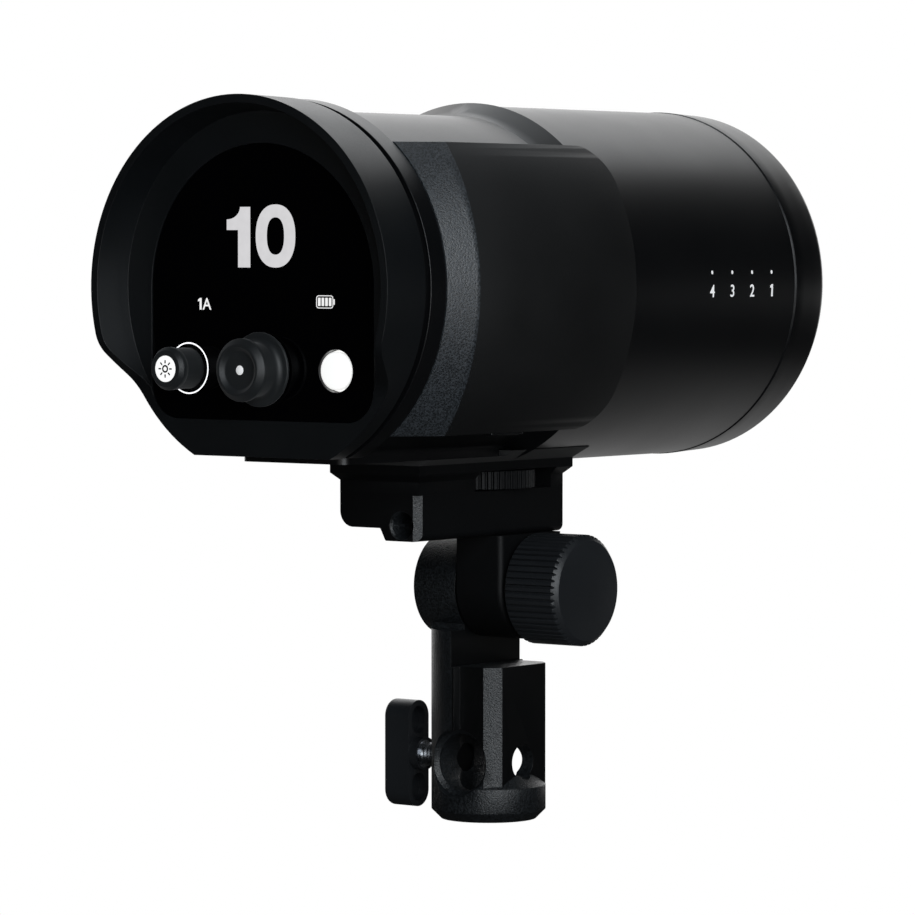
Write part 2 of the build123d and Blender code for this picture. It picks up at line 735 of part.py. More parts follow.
def rear_hood():
    skirt_end = trim_front_x - trim_len / 2 - seat_gap
    body = turned_x((rim_x, 0), (rim_x, hood_r), (hood_front_x, hood_front_r), (hood_front_x, groove_r),
                    (skirt_end, groove_r), (skirt_end, 0))
    body &= above(hood_drop)
    body &= hood_keep()
    body -= turned_x((rim_x, 0), (rim_x, well_r), (ledge_x, ledge_r), (ledge_x, 0))
    hollow = rod_x(groove_r - hood_wall, carrier_x, skirt_end + 1)
    body -= hollow & above(hood_drop - hood_wall)
    return body - Pos(0, 0, head_z) * prism_x(glass_outline(seat_gap), rim_x, carrier_x + 1)


# ---- display and controls ----
def control_spots():
    """Where the lamp knob, the dial and the test button stand across the head."""
    return control_pitch, 0.0, -control_pitch


def display_glass():
    knob_y, dial_y, button_y = control_spots()
    body = Pos(0, 0, head_z) * prism_x(glass_outline(0), glass_x, module_x)
    body -= rod_x(light_ring_out_r + seat_gap, rim_x, carrier_x + 1, knob_y, control_z)
    body -= rod_x(shaft_r + 1.2, rim_x, carrier_x + 1, dial_y, control_z)
    return body - rod_x(button_r + 0.15, rim_x, carrier_x + 1, button_y, control_z)


def display_module():
    z = head_z + module_up
    return box(module_x, module_x + module_t, -module_w / 2, module_w / 2, z - module_h / 2, z + module_h / 2)


def control_carrier():
    knob_y, dial_y, button_y = control_spots()
    r = groove_r - hood_wall - seat_gap
    plate = rod_x(r, carrier_x, carrier_x + carrier_t) & above(hood_drop - hood_wall - seat_gap)
    z = head_z + module_up
    gap = seat_gap
    plate -= box(rim_x, front_x, -module_w / 2 - gap, module_w / 2 + gap,
                 z - module_h / 2 - gap, z + module_h / 2 + gap)
    for y in (knob_y, dial_y):
        plate -= rod_x(shaft_r + 1.5, rim_x, front_x, y, control_z)
    plate -= rod_x(light_ring_out_r + seat_gap, rim_x, carrier_x + 0.8, knob_y, control_z)
    plate -= rod_x(button_r + 0.15, rim_x, front_x, button_y, control_z)
    reach = board_r - post_in
    for turn in (post_turn, 180 - post_turn, post_turn - 90, -90 - post_turn):
        y, dz = reach * cos(turn * pi / 180), reach * sin(turn * pi / 180)
        plate += rod_x(post_r, carrier_x + carrier_t, board_x, y, head_z + dz)
    return plate


def control_board():
    body = rod_x(board_r, board_x, board_x + board_t) & above(hood_drop - hood_wall - 1)
    return body


def encoder(y):
    """A rotary encoder on the board, bored for the shaft and its plunger."""
    half = encoder_w / 2
    x0 = carrier_x + carrier_t + seat_gap
    body = box(x0, board_x, y - half, y + half, control_z - half, control_z + half)
    body -= rod_x(shaft_r + run_gap, x0, encoder_floor_x, y, control_z)
    return body


def rotary_encoders():
    return [encoder(y) for y in control_spots()[:2]]


def shaft(y):
    """A hollow shaft from a control down into its encoder."""
    start, end = foot_x - shaft_sink, encoder_floor_x - press - pass_gap
    bore = rod_x(plunger_r + run_gap, start + shaft_end, end, y, control_z)
    return rod_x(shaft_r, start, end, y, control_z) - bore


def plunger(y):
    """The rod inside the shaft that works the press switch."""
    start = foot_x - shaft_sink + shaft_end + seat_gap
    return rod_x(plunger_r, start, encoder_floor_x - press - seat_gap, y, control_z)


def power_dial():
    y = control_spots()[1]
    foot = foot_x
    tip = foot - dial_h
    cap = tip + dial_cap_t
    flange = foot - dial_flange_t
    face = outline([(foot, 0), (foot, dial_flange_r), (flange, dial_flange_r), (flange, dial_waist_r),
                    (cap, dial_waist_r), (cap, dial_cap_r), (tip + 1.4, dial_cap_r), (tip, dial_lip_r),
                    (tip, dial_lip_r - 0.6), (tip + dial_dish, dial_lip_r - 1.8), (tip + dial_dish, 0)],
                   [0, 0.3, 0.3, 1.8, 0.5, 0, 0.4, 0.2, 0.2, 0.8, 0])
    body = Pos(0, y, control_z) * revolve(Plane.XZ * face, Axis.X)
    return body - rod_x(shaft_r, foot - shaft_sink, foot + 1, y, control_z)


def dial_shaft():
    return shaft(control_spots()[1])


def dial_plunger():
    return plunger(control_spots()[1])


def lamp_knob():
    y = control_spots()[0]
    tip = foot_x - knob2_h
    cap = tip + knob2_cap_t
    inlay = tip + knob2_disc_t
    face = outline([(foot_x, 0), (foot_x, knob2_body_r), (cap + 0.4, knob2_body_r), (cap, knob2_r),
                    (tip + 1.2, knob2_r), (tip, knob2_r - 0.9), (tip, knob2_disc_r), (inlay, knob2_disc_r),
                    (inlay, 0)])
    body = Pos(0, y, control_z) * revolve(Plane.XZ * face, Axis.X)
    return body - rod_x(shaft_r, foot_x - shaft_sink, foot_x + 1, y, control_z)


def lamp_knob_disc():
    tip = foot_x - knob2_h
    return rod_x(knob2_disc_r, tip, tip + knob2_disc_t, control_spots()[0], control_z)


def knob_shaft():
    return shaft(control_spots()[0])


def knob_plunger():
    return plunger(control_spots()[0])


def light_ring():
    y = control_spots()[0]
    ring = rod_x(light_ring_out_r, glass_x - light_ring_proud, carrier_x + 0.8, y, control_z)
    return ring - rod_x(light_ring_in_r, rim_x, front_x, y, control_z)


def test_button():
    y = control_spots()[2]
    face = glass_x - button_proud
    body = rod_x(button_r, face, carrier_x + carrier_t / 2, y, control_z)
    body = fillet(body.edges().sort_by(Axis.X)[0], 0.25)
    end = board_x - switch_t - button_travel - 0.1
    return body + rod_x(button_stem_r, carrier_x, end, y, control_z)


def button_switch():
    y, half = control_spots()[2], switch_w / 2
    return box(board_x - switch_t, board_x, y - half, y + half, control_z - half, control_z + half)


# ---- side panels ----
def side_form(inset):
    """A side panel's outer form on the left: an arc across, a slanted end, rounded front corners."""
    top, low = head_z + side_up - inset, head_z - side_down + inset
    x0, x1 = trim_front_x + seat_gap + inset, side_x1 - inset
    corner = side_corner - inset
    face = outline([(x0, low), (x1, low), (x1, top), (x0, top)], [0, corner, corner, 0])
    body = prism_y(face, 0, side_w + 5)
    body &= rod_x(side_arc_r - inset, x0, x1, -side_arc_over)
    start = bevel_r - inset * bevel_inset
    far = side_arc_r / bevel_slope
    bevel = turned_x((trim_front_x, 0), (trim_front_x, start),
                     (trim_front_x + far, start + far * bevel_slope), (trim_front_x + far, 0))
    return body & bevel


def side_clear(gap):
    """The housing, the shoulder and the tube, grown by a gap: what a side panel fits round."""
    return turned_x((trim_rear_x, 0), (trim_rear_x, housing_r + gap), (shoulder_x, housing_r + gap),
                    (ridge_x, ridge_r + gap), (ridge_x + gap, ridge_r + gap), (ridge_x + gap, tube_r + gap),
                    (ring_x, tube_r + gap), (ring_x, 0))


def panel(gap):
    """A hollow side panel on the left, with ribs that bear on what is under it."""
    body = side_form(0) - side_form(side_wall)
    reach = trim_front_x + panel_rib_start, shoulder_x - 4
    for z in (-rib_pitch, 0, rib_pitch):
        rib = box(*reach, case_out_y + seat_gap, side_w, head_z + z - rib_t / 2, head_z + z + rib_t / 2)
        body += rib & side_form(side_wall / 2)
    return body - side_clear(gap)


def finger_groove():
    middle = (trim_front_x + side_x1) / 2 + finger_off
    groove = Pos(middle, side_w - finger_in, 0) * SlotOverall(finger_len, finger_w)
    return prism_z(groove, head_z + side_up - finger_depth, head_z + side_up + 1)


def latch_window(gap, travel=0.0):
    """The latch's block, or with a gap and its travel the window that it moves in."""
    x = (trim_front_x + side_x1) / 2
    y = side_w - finger_in
    low = head_z - side_down
    return box(x - latch_len / 2 - gap, x + latch_len / 2 + gap, y - latch_w / 2 - gap, y + latch_w / 2 + gap,
               low - latch_proud - gap, low + side_wall + travel + gap)


def side_cover():
    return panel(seat_gap) - finger_groove()


def battery_cover():
    body = panel(battery_travel_gap) - finger_groove() - latch_window(pass_gap, latch_travel)
    return mirror(body, Plane.XZ)


def battery_latch():
    window = latch_window(0)
    size = window.bounding_box()
    stem = box(size.center().X - latch_stem, size.center().X + latch_stem, size.min.Y + 1, size.max.Y - 1,
               size.max.Z - 0.5, size.max.Z + latch_stem)
    return mirror(window + stem, Plane.XZ)


def case_limits():
    gap = battery_travel_gap
    return bay_x0 + gap, bay_x1 - gap, bay_floor_y + gap, case_out_y, case_half_h


def battery_case():
    x0, x1, y0, y1, half = case_limits()
    t = case_wall
    body = box(x0, x1, -y1, -y0, head_z - half, head_z + half)
    body -= box(x0 + t, x1 - t, -y1 + t, -y0 - t, head_z - half + t, head_z + half - t)
    middle = (x0 + x1) / 2
    for i in range(blade_count):
        x = middle + (i - (blade_count - 1) / 2) * blade_pitch
        body -= box(x - blade_t / 2, x + blade_t / 2, -y0 - t - 1, -y0 + 1,
                    head_z - blade_len / 2, head_z + blade_len / 2)
    return body


def battery_cells():
    x0, _, y0, _, _ = case_limits()
    start = x0 + case_wall + seat_gap + cell_gap
    y = -(case_out_y - case_wall - cell_gap - cell_r)
    pitch = 2 * (cell_r + cell_gap / 2)
    offsets = [(i - (cell_count - 1) / 2) * pitch for i in range(cell_count)]
    return [rod_x(cell_r, start, start + cell_len, y, head_z + z) for z in offsets]


def battery_contacts():
    x0, x1, y0, _, _ = case_limits()
    middle = (x0 + x1) / 2
    blades = []
    for i in range(blade_count):
        x = middle + (i - (blade_count - 1) / 2) * blade_pitch
        blades.append(box(x - blade_t / 2, x + blade_t / 2, -y0 - case_wall, -y0,
                          head_z - blade_len / 2, head_z + blade_len / 2))
    return blades


def contact_block():
    middle = (bay_x0 + bay_x1) / 2
    half = blade_count * blade_pitch / 2
    z0, z1 = head_z - blade_len / 2, head_z + blade_len / 2
    return box(middle - half, middle + half, -bay_floor_y, -board_t, z0, z1)


# ---- power parts ----
def power_board():
    half = power_board_h / 2
    return box(trim_front_x + power_board_in, shoulder_x - 0.5, -board_t, 0, head_z - half, head_z + half)


def capacitor_start():
    return (trim_front_x + shoulder_x) / 2 - capacitor_len / 2


def flash_capacitors():
    x0 = capacitor_start()
    return [rod_x(capacitor_r, x0, x0 + capacitor_len, capacitor_y, head_z + z)
            for z in (-capacitor_z, capacitor_z)]


def capacitor_cradle():
    x0, half = capacitor_start() + 6, power_board_h / 2 - 4
    body = box(x0, x0 + capacitor_len - 12, seat_gap / 2, cradle_y, head_z - half, head_z + half)
    for z in (-capacitor_z, capacitor_z):
        body -= rod_x(capacitor_r + seat_gap, x0 - 1, x0 + capacitor_len, capacitor_y, head_z + z)
    return body


def transformer():
    x0 = trim_front_x + power_board_in + 4
    depth = bay_floor_y - bay_wall - board_t - 0.8
    z0 = head_z + blade_len
    core = box(x0, x0 + transformer_len, -board_t - depth, -board_t, z0, z0 + transformer_h)
    return fillet(core.edges().filter_by(Axis.Y), 2.0)


# ---- lamp end ----
def front_tube():
    inner, spigot = tube_r - tube_wall, tube_r - tube_wall - 1
    back = ridge_x - spigot_len
    step = spigot - spigot_wall
    body = turned_x((back, step), (back, spigot), (ridge_x, spigot), (ridge_x, tube_r),
                    (ring_x, tube_r), (ring_x, inner), (bulkhead_x, inner), (bulkhead_x, step))
    return body - foot_solid(seat_gap)


def front_ring():
    inner = tube_r - tube_wall
    seat_r = front_lip_r + 2.1
    end_r = tube_r - front_ring_taper
    face = outline([(ring_x - ring_spigot, inner - seat_gap), (ring_x + seat_gap, inner - seat_gap),
                    (ring_x + seat_gap, tube_r - 2 * ring_seam), (ring_x + 4 * ring_seam, tube_r + ring_seam),
                    (front_x, end_r), (front_x, front_lip_r), (front_x - front_lip, front_lip_r),
                    (front_x - front_lip, seat_r), (ring_x - ring_spigot, seat_r)],
                   [0, 0, 0, 0, front_round, 0.6, 0, 0, 0])
    return Pos(0, 0, head_z) * revolve(Plane.XZ * face, Axis.X)


def bulkhead():
    body = rod_x(tube_r - tube_wall - seat_gap, bulkhead_x, bulkhead_x + bulkhead_t)
    body -= rod_x(fan_hole_r - 1.5, bulkhead_x - 1, bulkhead_x + bulkhead_t + 1)
    return body - foot_solid(seat_gap)


def fan_frame():
    half = fan_w / 2
    body = box(fan_x, fan_x + fan_t, -half, half, head_z - half, head_z + half)
    body = fillet(body.edges().filter_by(Axis.X), 3.0)
    body -= rod_x(fan_hole_r, fan_x - 1, fan_x + fan_t + 1)
    motor = rod_x(fan_hub_r, fan_x, fan_x + 1.6)
    for i in range(3):
        strut = box(fan_x, fan_x + 1.6, -1.5, 1.5, head_z + fan_hub_r / 2, head_z + fan_hole_r + 1)
        motor += strut.rotate(Axis((0, 0, head_z), (1, 0, 0)), 120 * i)
    body += motor
    return body + rod_x(fan_axle_r, fan_x, fan_x + fan_t - 2)


def fan_rotor():
    x0, x1 = fan_x + 1.6 + pass_gap, fan_x + fan_t - 1
    body = rod_x(fan_hub_r, x0, x1)
    blade_r = fan_hole_r - 2 * pass_gap
    for i in range(fan_blades):
        sheet = box(-fan_blade_t / 2, fan_blade_t / 2, -4.2, 4.2, fan_hub_r - 1, blade_r - 0.6)
        sheet = Pos((x0 + x1) / 2, 0, head_z) * Rot(0, 0, 38) * sheet
        body += sheet.rotate(Axis((0, 0, head_z), (1, 0, 0)), 360 / fan_blades * i)
    body &= rod_x(blade_r, x0, x1)
    return body - rod_x(fan_axle_r + run_gap, x0 - 1, fan_x + fan_t - 1.5)


def heat_sink():
    x0, x1 = fan_x + fan_t + seat_gap, lamp_x
    body = rod_x(sink_disc_r, x1 - sink_disc_t, x1) + rod_x(sink_core_r, x0, x1)
    for i in range(sink_fins):
        fin = box(x0, x1, -sink_fin_t / 2, sink_fin_t / 2, head_z + sink_core_r - 1, head_z + sink_disc_r - 1)
        body += fin.rotate(Axis((0, 0, head_z), (1, 0, 0)), 360 / sink_fins * i)
    return body


def lamp_base():
    return rod_x(tube_r - tube_wall - seat_gap, lamp_x, lamp_x + lamp_base_t)


def led_module():
    x0 = lamp_x + lamp_base_t
    dome = Pos(x0 + led_t, 0, head_z) * Sphere(led_dome_r)
    dome &= rod_x(led_dome_r + 1, x0 + led_t - 0.01, x0 + led_t + led_dome_r)
    return rod_x(led_r, x0, x0 + led_t) + dome


def flash_legs(r):
    """The two legs of the flash tube, from the lamp base to the ends of its ring."""
    x0 = lamp_x + lamp_base_t
    half = flash_gap_deg / 2 * pi / 180
    y, z = flash_ring_r * sin(half), -flash_ring_r * cos(half)
    return [rod_x(r, x0, x0 + flash_stand, side * y, head_z + z) for side in (-1, 1)]


def flash_tube():
    x = lamp_x + lamp_base_t + flash_stand
    arc = 360 - flash_gap_deg
    section = Pos(flash_ring_r, 0) * Circle(flash_tube_r)
    ring = revolve(Plane.XZ * section, Axis.Z, arc)
    ring = Rot(0, 90, 0) * Rot(0, 0, flash_gap_deg / 2) * ring
    body = Pos(x, 0, head_z) * ring
    for leg in flash_legs(flash_tube_r):
        body += leg
    for end in flash_legs(flash_tube_r):
        centre = end.bounding_box().center()
        body += Pos(x, centre.Y, centre.Z) * Sphere(flash_tube_r)
    return body


def reflector():
    x0 = lamp_x + lamp_base_t
    x1 = glass_back_x
    rim = front_lip_r + 0.6
    t = reflector_t
    face = make_face([
        Polyline((x0, reflector_hole_r), (x0, reflector_floor_r)),
        Spline((x0, reflector_floor_r), (x0 + 14, rim - 3.5), (x1, rim), tangents=((1, 1), (1, 0.05))),
        Line((x1, rim), (x1, rim - t)),
        Spline((x1, rim - t), (x0 + 14 + t * 0.4, rim - 3.5 - t), (x0 + t, reflector_floor_r - 0.4 * t),
               tangents=((-1, -0.05), (-1, -1))),
        Polyline((x0 + t, reflector_floor_r - 0.4 * t), (x0 + t, reflector_hole_r), (x0, reflector_hole_r))])
    body = Pos(0, 0, head_z) * revolve(Plane.XZ * face, Axis.X)
    for leg in flash_legs(flash_tube_r + 0.2):
        body -= leg
    return body


def front_glass():
    body = rod_x(front_lip_r + 2.0, glass_back_x, front_x - front_lip)
    return body


pieces = [
    stand_socket, tilt_bolt, friction_washer, tilt_knob, knob_nut, knob_washer,
    clamp_pad, clamp_screw, clamp_handle,
    adapter_head, adapter_plate, adapter_screws, adapter_pads, lock_wheel, mounting_screw,
    base_plate, tripod_insert, base_screws, left_housing, right_housing, housing_screws, trim_ring, rear_hood,
    display_glass, display_module, control_carrier, control_board, rotary_encoders, button_switch,
    light_ring, power_dial, dial_shaft, dial_plunger, lamp_knob, lamp_knob_disc, knob_shaft, knob_plunger,
    test_button,
    side_cover, battery_cover, battery_case, battery_cells, battery_contacts, battery_latch, contact_block,
    power_board, flash_capacitors, capacitor_cradle, transformer,
    front_tube, front_ring, bulkhead, fan_frame, fan_rotor, heat_sink, lamp_base, led_module, flash_tube,
    reflector, front_glass,
]

os.makedirs("parts", exist_ok=True)
for make in pieces:
    shape = make()
    if isinstance(shape, list):
        shape = Compound(children=shape)
    export_step(shape, f"parts/{make.__name__}.step")
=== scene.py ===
"""A battery monolight on its tilting stand adapter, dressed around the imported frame.

Metres in Blender and millimetres in the sizes below. +X is the way the flash fires, +Y is the left of a
person behind the head, +Z is up, and the origin is the mouth of the stand socket's bore.
"""

import json
import logging
from collections.abc import Callable
from dataclasses import dataclass
from enum import Enum
from functools import cached_property, partial
from math import cos, pi, radians, sin

import bmesh
import bpy
import numpy as np
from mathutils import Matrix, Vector

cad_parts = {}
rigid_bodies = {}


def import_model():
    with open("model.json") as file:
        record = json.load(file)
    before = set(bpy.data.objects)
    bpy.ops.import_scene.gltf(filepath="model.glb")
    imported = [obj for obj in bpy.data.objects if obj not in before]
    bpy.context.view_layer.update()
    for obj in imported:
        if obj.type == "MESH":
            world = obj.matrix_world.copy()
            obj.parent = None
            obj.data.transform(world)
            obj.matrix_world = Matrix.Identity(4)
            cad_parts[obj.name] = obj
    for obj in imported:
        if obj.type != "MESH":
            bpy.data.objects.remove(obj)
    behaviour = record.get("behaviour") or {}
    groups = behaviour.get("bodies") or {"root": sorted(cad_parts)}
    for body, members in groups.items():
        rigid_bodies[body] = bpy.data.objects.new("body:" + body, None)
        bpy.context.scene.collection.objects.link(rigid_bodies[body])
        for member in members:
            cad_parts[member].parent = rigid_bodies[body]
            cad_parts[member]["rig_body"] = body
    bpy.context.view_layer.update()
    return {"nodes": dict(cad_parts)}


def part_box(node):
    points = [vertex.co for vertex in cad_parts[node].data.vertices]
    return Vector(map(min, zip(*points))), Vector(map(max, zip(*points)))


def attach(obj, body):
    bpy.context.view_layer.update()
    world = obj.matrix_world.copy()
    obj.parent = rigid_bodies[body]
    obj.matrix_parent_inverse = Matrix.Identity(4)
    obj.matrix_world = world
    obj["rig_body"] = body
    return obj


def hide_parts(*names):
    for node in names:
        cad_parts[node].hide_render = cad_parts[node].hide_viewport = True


MM = 0.001
MIDDLE = (0.3, 0.7)                 # where most of a noise's values lie
ROUND_STEPS = radians(32)           # an edge that turns by more than this is sharp, and gets rounded
Socket = bpy.types.NodeSocket
Range = tuple[float, float]
Point = tuple[float, float, float]
Shape = tuple[np.ndarray, list]     # points, and each face's vertex numbers

log = logging.getLogger("monolight")
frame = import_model()


# ---- places
@dataclass(frozen=True)
class Span:
    """The box of one frame node, in millimetres."""

    low: np.ndarray
    high: np.ndarray

    @property
    def middle(self) -> np.ndarray:
        """The centre of the box."""
        return (self.low + self.high) / 2

    @property
    def size(self) -> np.ndarray:
        """The box's three lengths."""
        return self.high - self.low


def span(node: str) -> Span:
    """Where a frame node is.

    Args:
        node: the node's name.

    Returns:
        Its box in millimetres.
    """
    low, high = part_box(node)
    return Span(np.array(low) / MM, np.array(high) / MM)


# ---- materials: the shared tools
def linear(code: str) -> tuple[float, float, float, float]:
    """Turns an sRGB hex colour to linear light.

    Args:
        code: a # and six hex digits.

    Returns:
        Red, green, blue and an alpha of 1.
    """
    shown = np.array([int(code[i:i + 2], 16) for i in (1, 3, 5)]) / 255
    light = np.where(shown <= 0.04045, shown / 12.92, ((shown + 0.055) / 1.055) ** 2.4)
    return (*light.tolist(), 1.0)


def per_mm(size: float) -> float:
    """The texture scale, in Object coordinates of metres, at which one pattern cell is size millimetres."""
    return 1.0 / (size * MM)


def around(middle: float, spread: float) -> Range:
    """The range that reaches as far as the spread on both sides of its middle."""
    return middle - spread, middle + spread


@dataclass
class Nodes:
    """A shader tree, emptied, and the nodes that the finishes share."""

    tree: bpy.types.NodeTree

    def __post_init__(self) -> None:
        """Empties the tree."""
        self.tree.nodes.clear()

    @cached_property
    def where(self) -> Socket:
        """The place on the piece, in its own coordinates."""
        return self.add("TexCoord").outputs["Object"]

    def add(self, kind: str, inputs: dict | None = None, **settings) -> bpy.types.Node:
        """Adds a shader node with its settings and links.

        Args:
            kind: the node's type without its ShaderNode prefix.
            inputs: what each input gets, by name or number: a value, or another node's output.
            settings: the node's own properties.

        Returns:
            The new node.
        """
        node = self.tree.nodes.new("ShaderNode" + kind)
        for name, value in settings.items():
            setattr(node, name, value)
        for key, value in (inputs or {}).items():
            if isinstance(value, Socket):
                self.tree.links.new(value, node.inputs[key])
            else:
                node.inputs[key].default_value = value
        return node

    def noise(self, cell: float, detail: float = 2.0, roughness: float = 0.5,
              at: Socket | None = None) -> Socket:
        """A noise whose cells are cell millimetres."""
        return self.add("TexNoise", {"Vector": at or self.where, "Scale": per_mm(cell), "Detail": detail,
                                     "Roughness": roughness}).outputs[0]

    def ranged(self, value: Socket, source: Range, target: tuple = (0.0, 1.0), **settings) -> Socket:
        """Maps a value from the source range to the target range, and holds it at the ends."""
        return self.add("MapRange", dict(enumerate((value, *source, *target))), **settings).outputs[0]

    def between(self, share: float | Socket, low: float | Socket, high: float | Socket) -> Socket:
        """Mixes two values by a share."""
        return self.add("Mix", {0: share, 2: low, 3: high}).outputs[0]

    def blend(self, share: Socket, colour: str, shade: str) -> Socket:
        """Mixes two sRGB colours by a share."""
        return self.add("Mix", {0: share, 6: linear(colour), 7: linear(shade)},
                        data_type="RGBA").outputs[2]

    def bumped(self, height: Socket, depth: float) -> Socket:
        """The normal of a surface whose height moves by depth millimetres."""
        return self.add("Bump", {"Height": height, "Distance": depth * MM}).outputs[0]

    def maths(self, operation: str, *values: Socket) -> Socket:
        """One step of arithmetic."""
        return self.add("Math", dict(enumerate(values)), operation=operation).outputs[0]

    def end(self, shader: bpy.types.Node, output: str = "OutputMaterial") -> None:
        """Links a shader to the tree's surface output."""
        self.add(output, {"Surface": shader.outputs[0]})


def blank(name: str) -> tuple[bpy.types.Material, Nodes]:
    """An empty node material of that name, and its nodes.

    Args:
        name: the material's name.

    Returns:
        The material and its nodes.
    """
    material = bpy.data.materials.new(name)
    material.use_nodes = True
    return material, Nodes(material.node_tree)


@dataclass(frozen=True)
class Finish:
    """A named finish. Its slot is the record's material slot."""

    name: str
    slot: str

    def material(self) -> bpy.types.Material:
        """The finish's material, made the first time it is asked for.

        Returns:
            The material.
        """
        known = bpy.data.materials.get(self.name)
        if known:
            return known
        material, nodes = blank(self.name)
        nodes.end(nodes.add("BsdfPrincipled", self.surface(nodes)))
        return material

    def surface(self, nodes: Nodes) -> dict:
        """Builds the nodes behind the surface's shader.

        Args:
            nodes: the material's nodes.

        Returns:
            What each of the shader's inputs gets.
        """
        raise NotImplementedError


@dataclass(frozen=True)
class Moulded(Finish):
    """Moulded plastic or rubber, or a smooth coat: a grained skin over one body colour.

    The grain's noise moves the normal and the gloss. A slow second noise moves the colour and the gloss.
    """

    colour: str
    shade: str
    roughness: float
    grain: float
    depth: float
    gloss_spread: float = 0.06
    specular: float = 0.5
    drift: float = 24.0
    sheen: float = 0.0
    glow: float = 0.0

    def surface(self, nodes: Nodes) -> dict:
        """Builds the grain and the slow drift.

        Args:
            nodes: the material's nodes.

        Returns:
            The shader's inputs, by name.
        """
        grain = nodes.noise(self.grain, roughness=0.55)
        slow = nodes.noise(self.drift, 3.0)
        colour = nodes.blend(slow, self.colour, self.shade)
        mixed = nodes.between(0.5, grain, slow)
        gloss = nodes.ranged(mixed, MIDDLE, around(self.roughness, self.gloss_spread))
        return {"Base Color": colour, "Roughness": gloss, "Normal": nodes.bumped(grain, self.depth),
                "IOR": 1.5, "Specular IOR Level": self.specular, "Sheen Weight": self.sheen,
                "Sheen Roughness": 0.5, "Emission Color": colour, "Emission Strength": self.glow}


@dataclass(frozen=True)
class SparkEroded(Finish):
    """A coarse skin: raised pebbles of uneven size that glitter along their edges.

    Voronoi cells, broken up by a finer noise, feed the normal, the colour and the gloss.
    """

    colour: str
    shade: str
    roughness: float
    pebble: float
    depth: float
    specular: float = 0.85
    gloss_spread: float = 0.12

    def surface(self, nodes: Nodes) -> dict:
        """Builds the pebbles.

        Args:
            nodes: the material's nodes.

        Returns:
            The shader's inputs, by name.
        """
        cells = nodes.add("TexVoronoi", {"Vector": nodes.where, "Scale": per_mm(self.pebble),
                                         "Randomness": 1.0}, feature="F1").outputs["Distance"]
        height = nodes.between(0.55, cells, nodes.noise(self.pebble / 2.2, 3.0, 0.65))
        colour = nodes.blend(nodes.ranged(height, (0.38, 0.6)), self.colour, self.shade)
        gloss = nodes.ranged(height, (0.25, 0.65), around(self.roughness, self.gloss_spread))
        return {"Base Color": colour, "Roughness": gloss, "Normal": nodes.bumped(height, self.depth),
                "IOR": 1.5, "Specular IOR Level": self.specular}


class Lay(Enum):
    """Which way a tool's marks run, as the share of the marks' spacing that is kept along X, Y and Z."""

    NONE = (1.0, 1.0, 1.0)
    ALONG_X = (0.2, 1.0, 1.0)
    ALONG_Y = (1.0, 0.15, 1.0)
    ROUND_X = (1.0, 0.3, 0.3)


@dataclass(frozen=True)
class Metal(Finish):
    """Plated, turned or cast metal, with tool lines round or along one axis.

    The lines are a noise stretched the way the tool ran. They move the gloss and the normal.
    """

    colour: str
    shade: str
    roughness: float
    line: float
    lay: Lay = Lay.NONE
    depth: float = 0.003
    patch: float = 9.0

    def surface(self, nodes: Nodes) -> dict:
        """Builds the tool's lines and the slow patches of colour.

        Args:
            nodes: the material's nodes.

        Returns:
            The shader's inputs, by name.
        """
        along = nodes.add("Mapping", {"Vector": nodes.where, "Scale": self.lay.value}).outputs[0]
        lines = nodes.noise(self.line, 3.0, at=along)
        return {"Base Color": nodes.blend(nodes.noise(self.patch), self.colour, self.shade),
                "Metallic": 1.0, "Normal": nodes.bumped(lines, self.depth),
                "Roughness": nodes.ranged(lines, MIDDLE, (self.roughness * 0.75, self.roughness * 1.3))}


@dataclass(frozen=True)
class Polished(Finish):
    """A polished black acrylic window: mirror gloss with the faintest wave, and next to no colour."""

    colour: str
    roughness: float = 0.03
    wave: float = 14.0
    dust: float = 3.0
    depth: float = 0.004
    specular: float = 0.5

    def surface(self, nodes: Nodes) -> dict:
        """Builds the wave and the dust.

        Args:
            nodes: the material's nodes.

        Returns:
            The shader's inputs, by name.
        """
        gloss = nodes.ranged(nodes.noise(self.dust, 4.0), (0.45, 0.8),
                             (self.roughness, self.roughness + 0.05))
        return {"Base Color": linear(self.colour), "Roughness": gloss, "IOR": 1.49,
                "Normal": nodes.bumped(nodes.noise(self.wave, 1.0), self.depth),
                "Specular IOR Level": self.specular}


@dataclass(frozen=True)
class Glowing(Finish):
    """A lit segment or light guide. The pieces around it get only the spill's share of its light."""

    colour: str
    light: float
    unlit: str = "#d8d8d6"
    spill: float = 1.0

    def surface(self, nodes: Nodes) -> dict:
        """Builds the light and its spill.

        Args:
            nodes: the material's nodes.

        Returns:
            The shader's inputs, by name.
        """
        glow = nodes.ranged(nodes.noise(2.0), MIDDLE, (self.light * 0.97, self.light * 1.03))
        seen = nodes.add("LightPath").outputs["Is Camera Ray"]
        return {"Base Color": linear(self.unlit), "Roughness": 0.4, "Emission Color": linear(self.colour),
                "Emission Strength": nodes.ranged(seen, (0.0, 1.0), (self.light * self.spill, glow))}


@dataclass(frozen=True)
class Printed(Finish):
    """Pad-printed ink: an opaque matt film with uneven gloss, and a faint glow of its own that is painted
    brightness, with no lamp behind it.
    """

    colour: str
    # painted brightness: the ink's own emission, though no lamp is behind it
    painted_glow: float = 0.35

    def surface(self, nodes: Nodes) -> dict:
        """Builds the film and its painted glow.

        Args:
            nodes: the material's nodes.

        Returns:
            The shader's inputs, by name.
        """
        return {"Base Color": linear(self.colour), "Emission Color": linear(self.colour),
                "Roughness": nodes.ranged(nodes.noise(0.3), MIDDLE, (0.4, 0.6)),
                "Emission Strength": self.painted_glow}


